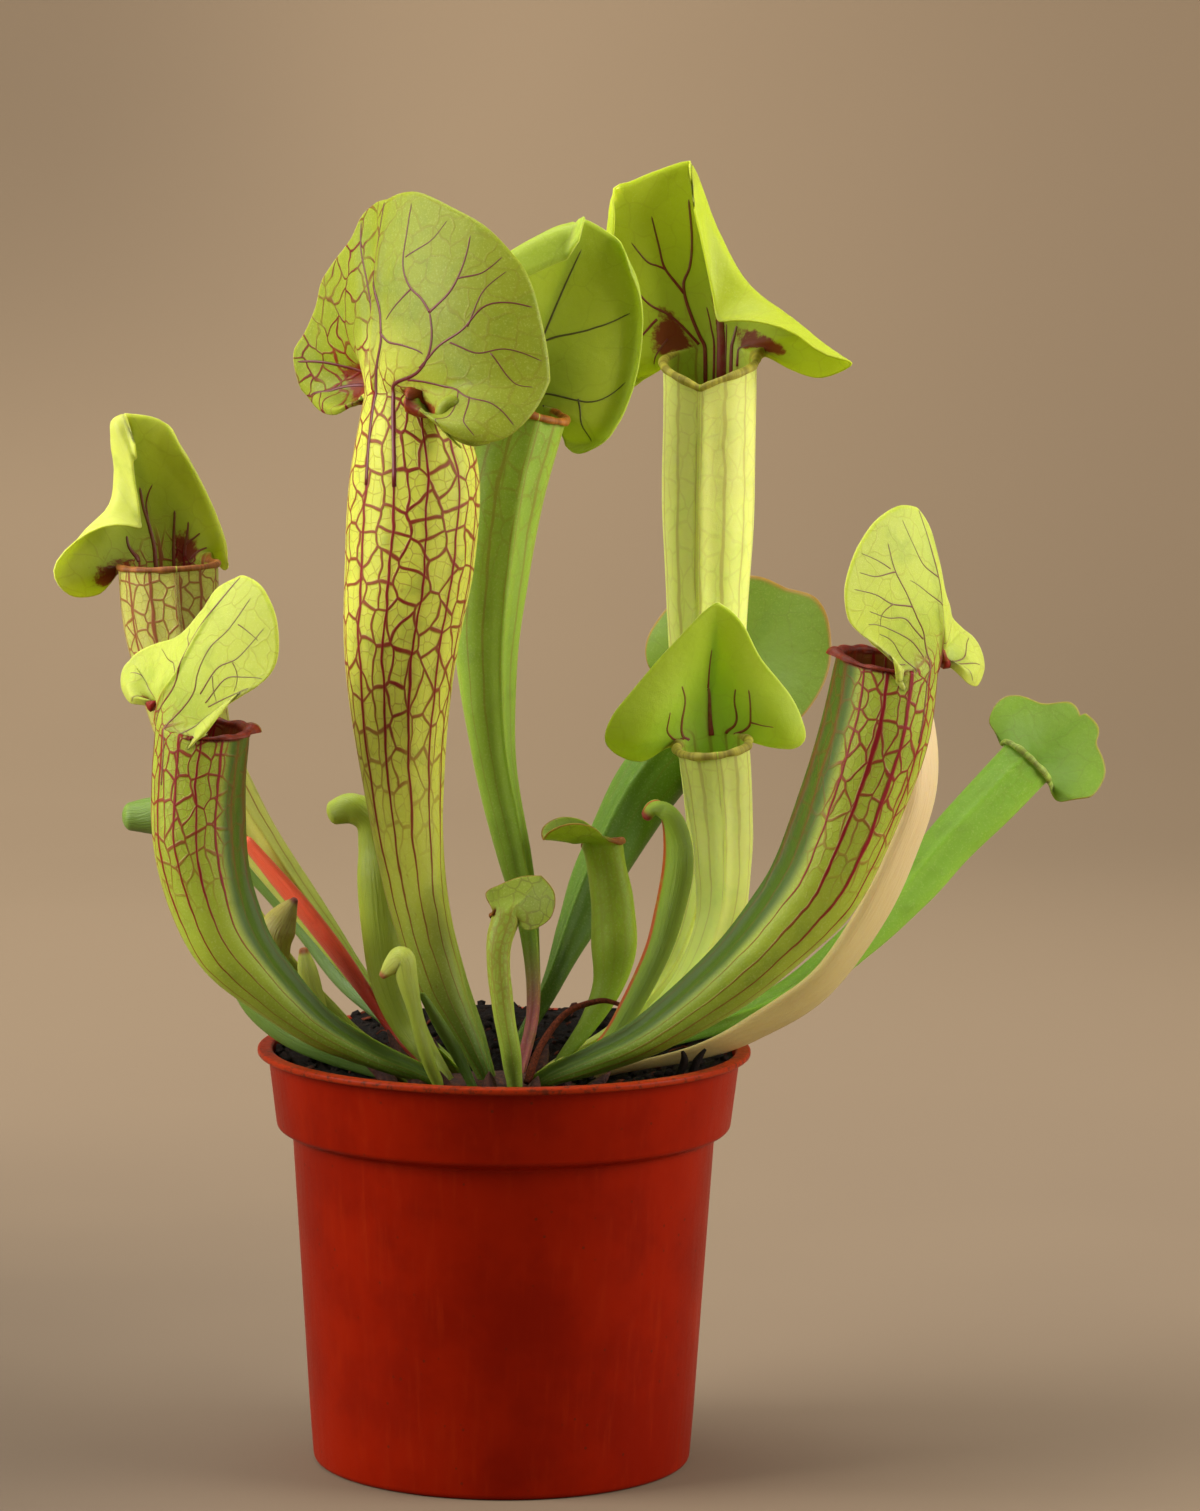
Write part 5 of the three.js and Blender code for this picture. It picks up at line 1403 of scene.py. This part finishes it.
finish_piece(piece, "pitcher_small_front", young_veined)

open_cup = Leaf(
    "pitcher_open_cup", facing=60, depth=0.9, wing=0.8, wall=0.8, bumps=0.1, seed=23,
    spine=[
        (13, -11, 99, 1.3), (20, -6, 108, 2.2), (25, -2, 117, 3.8), (26.5, 0, 127, 5.7), (26, 2, 137, 5.4),
        (24.5, 3, 146, 4.9), (23.5, 3, 151, 5.2),
    ],
)
open_cup_hood = Hood(
    facing=10, tilt=0, lean=-58, bend=-20, cup=(70, 60), left_roll=(0, 0), right_roll=(0, 0),
    left=[(0, 12.5), (5, 12), (8.5, 8), (8.5, 3), (6.5, -0.5)],
    right=[(0, 12.5), (5, 12), (8.5, 8), (8.5, 3), (6.5, -0.5)],
    keel=0.2,
)
cup_green = leaf_material(
    "leaf_cup_green", tube=rgb(156, 184, 48), low=rgb(122, 152, 40), hood=rgb(164, 184, 60),
    veins=0.1, net=0.1, hood_net=(0.2, 0.2), edge=rgb(150, 90, 40), lip=rgb(170, 104, 48), cell=2.0,
    hood_cell=4,
)
piece = pitcher(
    open_cup, {"rise": 0.5, "column": 75, "cavity": 8}, open_cup_hood, {"size": 0.5}, around=80,
    tube_rows=60, ray_rows=18, inner_rows=10,
)
finish_piece(piece, "pitcher_open_cup", cup_green)

# %% [markdown]
# ## The pot
#
# The pot is moulded in one piece, so it is a turned shape: a profile of radius and height spun
# round the axis. Rounding each corner of the profile by a small arc gives the soft edges that
# moulding leaves. Six drainage holes go through its floor.

# %% Rounded profiles
def rounded(corners):
    """A profile through (radius, height, rounding) corners, each rounded by a small curve."""
    corners = [np.array(c, float) for c in corners]
    line = [corners[0][:2]]
    for before, here, after in zip(corners, corners[1:], corners[2:]):
        into, out = unit(before[:2] - here[:2]), unit(after[:2] - here[:2])
        sides = [np.linalg.norm(other[:2] - here[:2]) for other in (before, after)]
        reach = min(here[2], *(side / 2.1 for side in sides))
        if reach < 0.05:
            line.append(here[:2])
            continue
        a, b = here[:2] + into * reach, here[:2] + out * reach
        for f in np.linspace(0, 1, 7):
            line.append(mix(mix(a, here[:2], f), mix(here[:2], b, f), f))
    line.append(corners[-1][:2])
    return np.array(line)


POT_AROUND = 192
POT_FLOOR = 1.6          # height of the floor's inside
POT_RECESS = 0.9         # the floor's underside stands up a little, so the pot rests on a ring
RECESS_RADIUS = 38


def pot_radius(z):
    return mix(POT_BASE_RADIUS, POT_NECK_RADIUS, z / POT_STEP_HEIGHT)


def inner(radius):
    return radius - POT_WALL


pot_profile = rounded([
    (0.01, POT_RECESS, 0), (RECESS_RADIUS, POT_RECESS, 0.6), (RECESS_RADIUS + 2, 0, 0.8),
    (pot_radius(0) - 0.2, 0, 1.6), (pot_radius(12), 12, 3), (pot_radius(44), 44, 5),
    (POT_NECK_RADIUS, POT_STEP_HEIGHT - 0.8, 0.6), (POT_STEP_RADIUS + 0.4, POT_STEP_HEIGHT, 0.8),
    (COLLAR_LOW_RADIUS, POT_STEP_HEIGHT + 0.8, 1.5), (COLLAR_TOP_RADIUS, POT_HEIGHT - 1.8, 0.7),
    (POT_RIM_RADIUS, POT_HEIGHT - 1.5, 0.6), (POT_RIM_RADIUS, POT_HEIGHT, 0.7),
    (inner(COLLAR_TOP_RADIUS) + 0.3, POT_HEIGHT, 0.8), (inner(COLLAR_LOW_RADIUS), POT_STEP_HEIGHT + 2.6, 1),
    (inner(POT_NECK_RADIUS), POT_STEP_HEIGHT - 1, 1), (inner(pot_radius(4)), 4, 2),
    (inner(pot_radius(0)) - 2.4, POT_FLOOR, 1), (0.01, POT_FLOOR, 0),
])
spin = np.linspace(0, 2 * math.pi, POT_AROUND, endpoint=False)
pot_points = np.stack([
    np.outer(pot_profile[:, 0], np.cos(spin)), np.outer(pot_profile[:, 0], np.sin(spin)),
    np.repeat(pot_profile[:, 1:], POT_AROUND, axis=1),
], axis=2).reshape(-1, 3)
pot_points = np.concatenate([pot_points, [[0, 0, POT_RECESS]], [[0, 0, POT_FLOOR]]])
pot = face_outward(build_mesh("pot", pot_points, ring_faces(len(pot_profile), POT_AROUND)))

# %% Drainage holes
DRAIN_HOLES = 6
DRAIN_RADIUS = 4.0
DRAIN_CIRCLE = 33.0
DRAIN_SIDES = 32
DRILL_HEIGHTS = (-1.0, 3.0)


def cut_out(piece, cutter):
    """Takes the cutter's shape out of the piece, and removes the cutter."""
    saw = piece.modifiers.new("holes", "BOOLEAN")
    saw.operation, saw.solver, saw.object = "DIFFERENCE", "EXACT", cutter
    whole = piece.data
    piece.data = bpy.data.meshes.new_from_object(piece.evaluated_get(bpy.context.evaluated_depsgraph_get()))
    piece.modifiers.clear()
    bpy.data.objects.remove(cutter)
    bpy.data.meshes.remove(whole)


drill_points, drill_faces = np.zeros((0, 3)), []
way = np.linspace(0, 2 * math.pi, DRAIN_SIDES, endpoint=False)
for k in range(DRAIN_HOLES):
    turn = 2 * math.pi * (k + 0.5) / DRAIN_HOLES
    middle = DRAIN_CIRCLE * np.array([math.cos(turn), math.sin(turn)])
    circle = middle + DRAIN_RADIUS * np.stack([np.cos(way), np.sin(way)], axis=1)
    drill_faces += ring_faces(2, DRAIN_SIDES, len(drill_points))
    rings = [np.column_stack([circle, np.full(DRAIN_SIDES, z)]) for z in DRILL_HEIGHTS]
    drill_points = np.concatenate([drill_points, *rings, *([[*middle, z]] for z in DRILL_HEIGHTS)])
cut_out(pot, face_outward(build_mesh("drill", drill_points, drill_faces)))
print("pot faces after drilling:", len(pot.data.polygons))


# %% [markdown]
# The plastic is an orange-red terracotta colour with a satin shine. Real ones carry a film of
# dust, fine scuffs and soil on the lip, so the roughness and colour change a little all over.

# %% Pot plastic
def pot_material():
    p = Paint("pot_plastic")
    place = p.place()
    _, _, height = p.add("ShaderNodeSeparateXYZ", {0: place}).outputs
    clouds = p.noise(place, 0.035, 4.0, 0.6)
    streaks = p.noise(p.stretched(place, (1.0, 1.0, 0.08)), 0.5, 4.0, 0.6)
    dust = p.noise(place, 1.6, 5.0, 0.7)
    colour = p.blend(rgb(144, 24, 0), rgb(128, 18, 0), p.step(clouds, 0.35, 0.65))
    colour = p.blend(colour, rgb(158, 40, 2), p.step(streaks, 0.5, 0.8, 0, 0.35))
    colour = p.blend(colour, rgb(132, 66, 40), p.step(dust, 0.62, 0.8, 0, 0.3))
    inputs = {"Vector": place, "Scale": 0.34, "Randomness": 1.0}
    specks = p.add("ShaderNodeTexVoronoi", inputs, feature="F1").outputs["Distance"]
    some = p.step(p.noise(place, 0.09, 2.0), 0.5, 0.62)
    colour = p.blend(colour, rgb(70, 34, 20), p.times(p.step(specks, 0.16, 0.09), some, 0.55))
    lip = p.step(height, POT_HEIGHT - 2.4, POT_HEIGHT - 1.2)
    smudge = p.times(lip, p.step(p.noise(place, 0.6, 5.0, 0.7), 0.48, 0.66))
    colour = p.blend(colour, rgb(168, 62, 26), p.times(lip, 0.4))
    colour = p.blend(colour, rgb(58, 34, 22), p.times(smudge, 0.75))
    worn = p.math("ADD", p.times(streaks, 0.5), p.times(dust, 0.5))
    p.glow(0.05, (1.0, 0.3, 0.1), 0.001)
    relief = p.bump(dust, 0.00006, 0.5, p.bump(clouds, 0.0006, 0.4))
    return p.finish(colour, p.step(worn, 0.35, 0.65, 0.32, 0.46), relief, shine=0.06)


finish_piece(pot, "pot", pot_material())

# %% [markdown]
# ## The peat and the crown
#
# The pot is filled with dark damp peat, nearly level with the rim and sunk where the crown sits.
# A rough surface alone looks like rubber, so crumbs and fibres are scattered on it as real small
# meshes.

# %% The peat
SOIL_AROUND = 180
SOIL_RINGS = 90


def soil_height(x, y):
    """The peat's surface: nearly level, hollow round the crown, lumpy at three sizes."""
    pit = 6.2 * np.exp(-(((x + 5) / 46) ** 2) - ((y + 30) / 22) ** 2)
    lumps = np.sin(x * 0.31 + y * 0.17) + np.sin(y * 0.37 - x * 0.23) + np.cos(x * 0.11 + y * 0.41)
    crumbs = np.sin(x * 1.3 + 2 * np.sin(y * 0.7)) * np.sin(y * 1.1 + 2 * np.sin(x * 0.9))
    grit = np.sin(x * 3.1 + np.sin(y * 2.3) * 2) * np.sin(y * 2.9 + np.sin(x * 2.7) * 2)
    heap = 2.4 * ease(5, 48, y) * ease(57, 52, np.hypot(x, y))
    return SOIL_LEVEL - pit + heap + 0.45 * lumps + 0.5 * crumbs + 0.3 * grit


def soil_level_at(x, y):
    return float(soil_height(np.array(x), np.array(y)))


def peat_points():
    """A skirt that follows the pot's inside, then rings of the surface, then the two middle points."""
    collar_inside = inner(mix(COLLAR_LOW_RADIUS, COLLAR_TOP_RADIUS, 0.9)) - 0.25
    reach = collar_inside * np.linspace(1, 0.01, SOIL_RINGS)
    spin = np.linspace(0, 2 * math.pi, SOIL_AROUND, endpoint=False)
    x, y = np.outer(reach, np.cos(spin)), np.outer(reach, np.sin(spin))
    skirt_rows = [
        (inner(pot_radius(2)) - 3.5, 2.0), (inner(pot_radius(6)) - 0.6, 6.0),
        (inner(POT_NECK_RADIUS) - 0.7, 80.0), (inner(COLLAR_LOW_RADIUS) - 0.7, 85.0),
        (collar_inside - 0.2, 95.0),
    ]
    skirt = np.array([[(r * math.cos(a), r * math.sin(a), z) for a in spin] for r, z in skirt_rows])
    grid = np.concatenate([skirt, np.stack([x, y, soil_height(x, y)], axis=2)])
    ends = [[0, 0, skirt_rows[0][1]], [0, 0, soil_level_at(0.0, 0.0)]]
    return np.concatenate([grid.reshape(-1, 3), ends]), ring_faces(len(grid), SOIL_AROUND)


first_points, soil_faces = peat_points()
soil_points, soil_tints = [first_points], [np.zeros(len(first_points))]


# %% [markdown]
# Crumbs are little twenty-sided lumps with every corner moved a bit. Squashed ones become flakes of
# bark. Fibres and stalks are thin cords, run through a few points.

# %% Crumbs, flakes and cords on the peat
GOLDEN = (1 + math.sqrt(5)) / 2
LUMP_REACH = 55.5
FIBRE_REACH = 52
signs = [(a, b * GOLDEN) for a in (-1, 1) for b in (-1, 1)]
LUMP = unit(np.array([(a, b, 0) for a, b in signs] + [(0, a, b) for a, b in signs]
                     + [(b, 0, a) for a, b in signs], float))
LUMP_FACES = [
    (i, j, k) for i in range(12) for j in range(i + 1, 12) for k in range(j + 1, 12)
    if max(np.linalg.norm(LUMP[a] - LUMP[b]) for a, b in ((i, j), (j, k), (i, k))) < 1.1
]
LUMP_FACES = [f if np.dot(np.cross(LUMP[f[0]], LUMP[f[1]]), LUMP[f[2]]) > 0 else f[::-1] for f in LUMP_FACES]
random = np.random.default_rng(7)


def add_to_soil(points, faces, tint):
    """Adds a small mesh to the peat. A higher tint is lighter and redder, like bark."""
    soil_faces.extend(shifted(faces, sum(len(p) for p in soil_points)))
    soil_points.append(points)
    soil_tints.append(np.full(len(points), tint))


def random_place(reach):
    away, turn = reach * math.sqrt(random.random()), random.random() * 2 * math.pi
    return away * math.cos(turn), away * math.sin(turn), turn


def turned(points, angle, first, second):
    """Points turned by an angle in the plane of two of the axes."""
    turn = np.eye(3)
    turn[first, first] = turn[second, second] = math.cos(angle)
    turn[first, second], turn[second, first] = math.sin(angle), -math.sin(angle)
    return points @ turn


def add_lumps(count, small, large, flat, tint):
    """Scatters lumps over the peat, flattened by flat."""
    for _ in range(count):
        x, y, turn = random_place(LUMP_REACH)
        size = mix(small, large, random.random() ** 2)
        stretch = np.array([mix(0.6, 1.4, random.random()), mix(0.6, 1.4, random.random()), flat]) * size
        points = LUMP * mix(0.7, 1.2, random.random((12, 1))) * stretch
        tipped = random.random() * 0.8
        points = turned(turned(points, turn * 5, 0, 1), tipped, 0, 2)
        add_to_soil(points + (x, y, soil_level_at(x, y) + size * 0.25), LUMP_FACES, tint)


add_lumps(520, 0.5, 1.8, 0.8, 0.0)
add_lumps(180, 0.4, 1.3, 0.7, 0.35)
add_lumps(60, 0.8, 2.2, 0.25, 1.0)
for _ in range(46):
    x, y, _ = random_place(FIBRE_REACH)
    bow = random.normal(0, 1, (3, 2)).cumsum(axis=0) * 2.2
    lifts = (0.5, 1.0, 0.5)
    fibre = [(x + i, y + j, soil_level_at(x + i, y + j) + lift, 0.16) for (i, j), lift in zip(bow, lifts)]
    add_to_soil(*cord(fibre), 0.6)
# A dried stalk bends over the peat, and two short hooks stand near the rim.
for stations, tint in [
    ([(6, -30, 98, 1.0), (9, -25, 106, 0.9), (15, -18, 113, 0.8), (23, -14, 115.5, 0.7),
      (28, -13, 114.5, 0.5)], 0.9),
    ([(42, -26, 99, 0.9), (43.5, -26, 103, 1.0), (43, -26, 105.5, 0.4)], 0.05),
    ([(45, -26, 99, 0.9), (46.5, -26, 103, 1.0), (48.5, -26, 106, 0.4)], 0.05),
]:
    add_to_soil(*cord(stations), tint)
soil_points, soil_tints = np.concatenate(soil_points), np.concatenate(soil_tints)
soil = face_outward(build_mesh("soil", soil_points, soil_faces, {"tint": soil_tints}))


def peat_material():
    p = Paint("peat_damp")
    place = p.place()
    tint = p.add("ShaderNodeAttribute", attribute_name="tint").outputs["Fac"]
    lumps = p.noise(place, 0.5, 6.0, 0.7)
    grit = p.noise(place, 2.4, 5.0, 0.7)
    colour = p.blend(rgb(17, 11, 7), rgb(40, 26, 17), p.step(lumps, 0.4, 0.66))
    colour = p.blend(colour, rgb(66, 42, 26), p.step(grit, 0.62, 0.78, 0, 0.5))
    bark = p.blend(rgb(84, 42, 24), rgb(150, 66, 34), p.step(grit, 0.35, 0.65))
    colour = p.blend(colour, bark, p.step(tint, 0.0, 1.0, 0.0, 0.95))
    relief = p.bump(grit, 0.0007, 0.8, p.bump(lumps, 0.0022, 0.9))
    return p.finish(colour, p.step(lumps, 0.3, 0.7, 0.7, 0.95), relief, shine=0.2)


finish_piece(soil, "soil", peat_material())

# %% The crown
CROWN_ROWS = 40
CROWN_AROUND = 72
STUB_ROOT = 90

climb = np.pi * np.arange(1, CROWN_ROWS) / CROWN_ROWS
lift, wide = -np.cos(climb)[:, None], np.sin(climb)[:, None]
spin = np.linspace(0, 2 * math.pi, CROWN_AROUND, endpoint=False)
knob = 1 + 0.05 * np.sin(3 * spin)[None] + 0.04 * np.sin(9 * spin[None] + 7 * lift)
crown_grid = CROWN_CENTRE + CROWN_HALF * np.stack([
    knob * wide * np.cos(spin)[None], knob * wide * np.sin(spin)[None], np.broadcast_to(lift, knob.shape),
], axis=2)
ends = [CROWN_CENTRE - [0, 0, CROWN_HALF[2]], CROWN_CENTRE + [0, 0, CROWN_HALF[2]]]
crown_points = np.concatenate([crown_grid.reshape(-1, 3), ends])
crown_faces = ring_faces(CROWN_ROWS - 1, CROWN_AROUND)
# Dried leaf bases stand round the crown as short brown and dark red stubs.
for x, y, lean_x, lean_y, tall, thick in [
    (-24, -26, -9, 2, 13, 2.0), (-20, -22, -6, 3, 15, 1.8), (-17, -30, -5, 0, 10, 2.2),
    (-11, -31, -3, -1, 9, 1.8), (-3, -31, 0, -1, 9, 2.4), (6, -31, 2, 0, 8, 2.2), (13, -27, 4, 2, 12, 1.7),
    (-13, -15, -3, 5, 12, 1.8), (8, -14, 2, 5, 11, 1.8), (18, -25, 6, 1, 8, 1.8),
]:
    steps = [(0, 0, thick * 1.4), (0.4, 0.6, thick), (1, 1, thick * 0.6), (1.3, 1.25, 0.2)]
    line = [(x + lean_x * out, y + lean_y * out, STUB_ROOT + tall * up, r) for out, up, r in steps]
    stub, faces = cord(line, sides=10)
    crown_faces += shifted(faces, len(crown_points))
    crown_points = np.concatenate([crown_points, stub])
crown = face_outward(build_mesh("rhizome", crown_points, crown_faces))


def crown_material():
    p = Paint("crown_bark")
    fibres = p.noise(p.place(), 0.7, 5.0, 0.7)
    colour = p.blend(rgb(58, 20, 13), rgb(108, 58, 32), p.step(fibres, 0.4, 0.7))
    return p.finish(colour, 0.7, p.bump(fibres, 0.001, 0.8))


finish_piece(crown, "rhizome", crown_material())

# %% [markdown]
# ## Floor, light and camera
#
# A plain pale floor curves up into a backdrop, so no horizon shows; painted shade darkens it toward
# the front and in three corners. A large soft lamp stands on each side, the left one stronger. A weak
# one overhead lights the hoods from above, a fourth lights only the backdrop, and the sky adds a little
# everywhere.

# %% Floor and backdrop
def floor_material():
    p = Paint("floor_pale")
    place = p.place()
    sideways, away, _ = p.add("ShaderNodeSeparateXYZ", {0: place}).outputs
    # Painted shade: the paper is darker near the front and lighter far back.
    paper = p.blend(rgb(132, 113, 91), rgb(176, 152, 123), p.step(away, 0, 1200))
    # Painted shade darkens each corner by its own amount: near left, far left and far right.
    for colour, across_range, away_range, amount in [
        (rgb(88, 75, 60), (60, -260), (500, 0), 0.95),
        (rgb(136, 117, 94), (0, -290), (1480, 1700), 0.75),
        (rgb(144, 123, 98), (-120, 320), (500, 1300), 0.55),
    ]:
        corner = p.times(p.step(sideways, *across_range), p.step(away, *away_range, 0, amount))
        paper = p.blend(paper, colour, corner)
    uneven = p.step(p.noise(place, 0.004, 2.0), 0.4, 0.6, 0, 0.1)
    return p.finish(p.blend(paper, rgb(160, 138, 110), uneven), 0.85)


FLOOR_HALF = 3000
BACKDROP_TOP = 440    # just above the picture's top edge, so that a look from behind passes over it
backdrop_rows = [
    (-2500, 0), (0, 0), (900, 0), (1250, 20), (1500, 110), (1680, 290), (1780, 560),
    (1800, 900), (1800, 3000),
]
curve = smooth_line(backdrop_rows, np.linspace(0, 1, 400))
curve = curve[curve[:, 1] < BACKDROP_TOP]
floor_points = [(x, y, z) for y, z in curve for x in (-FLOOR_HALF, FLOOR_HALF)]
floor_faces = [(2 * k, 2 * k + 1, 2 * k + 3, 2 * k + 2) for k in range(len(curve) - 1)]
floor = build_mesh("floor", floor_points, floor_faces)
floor.data.materials.append(floor_material())


# %% Lamps
def soft_lamp(name, place, aim, size, power, colour):
    """A square lamp that points at aim. Places are in millimetres."""
    lamp = bpy.data.lights.new(name, "AREA")
    lamp.size, lamp.energy, lamp.color = size * MM, power, colour
    item = bpy.data.objects.new(name, lamp)
    bpy.context.scene.collection.objects.link(item)
    item.location = Vector(place) * MM
    item.rotation_euler = (Vector(aim) - Vector(place)).to_track_quat("-Z", "Y").to_euler()


soft_lamp("left_softbox", (-980, -300, 620), (0, 0, 190), 700, 16, (1, 0.97, 0.92))
soft_lamp("right_softbox", (980, -200, 520), (0, 0, 190), 700, 12, (1, 0.96, 0.9))
soft_lamp("top_softbox", (-100, -50, 1250), (0, 0, 150), 700, 3.5, (1, 0.98, 0.94))
soft_lamp("backdrop_lamp", (-300, 500, 1400), (-100, 1500, 100), 900, 13, (1, 0.96, 0.9))
world = bpy.data.worlds.new("studio")
bpy.context.scene.world = world
world.use_nodes = True
sky = world.node_tree.nodes["Background"].inputs
sky["Color"].default_value = (1.0, 0.95, 0.88, 1)
sky["Strength"].default_value = 0.16

# %% Camera
CAMERA_PLACE = (22.7, -1442, 347.1)
CAMERA_DOWN = 6.87      # degrees below level
CAMERA_ROLL = 0.49      # degrees
CAMERA_LENS = 142.95    # millimetres, on a sensor 36 wide
CAMERA_SENSOR = 36
CAMERA_REACH = 20       # metres

camera_data = bpy.data.cameras.new("camera")
camera = bpy.data.objects.new("camera", camera_data)
bpy.context.scene.collection.objects.link(camera)
camera.location = Vector(CAMERA_PLACE) * MM
look_down, roll = math.radians(90 - CAMERA_DOWN), math.radians(CAMERA_ROLL)
camera.rotation_euler = (Matrix.Rotation(look_down, 3, "X") @ Matrix.Rotation(roll, 3, "Z")).to_euler()
camera_data.lens = CAMERA_LENS
camera_data.sensor_width = CAMERA_SENSOR
camera_data.clip_end = CAMERA_REACH
bpy.context.scene.camera = camera
bpy.context.scene.view_settings.view_transform = "Standard"
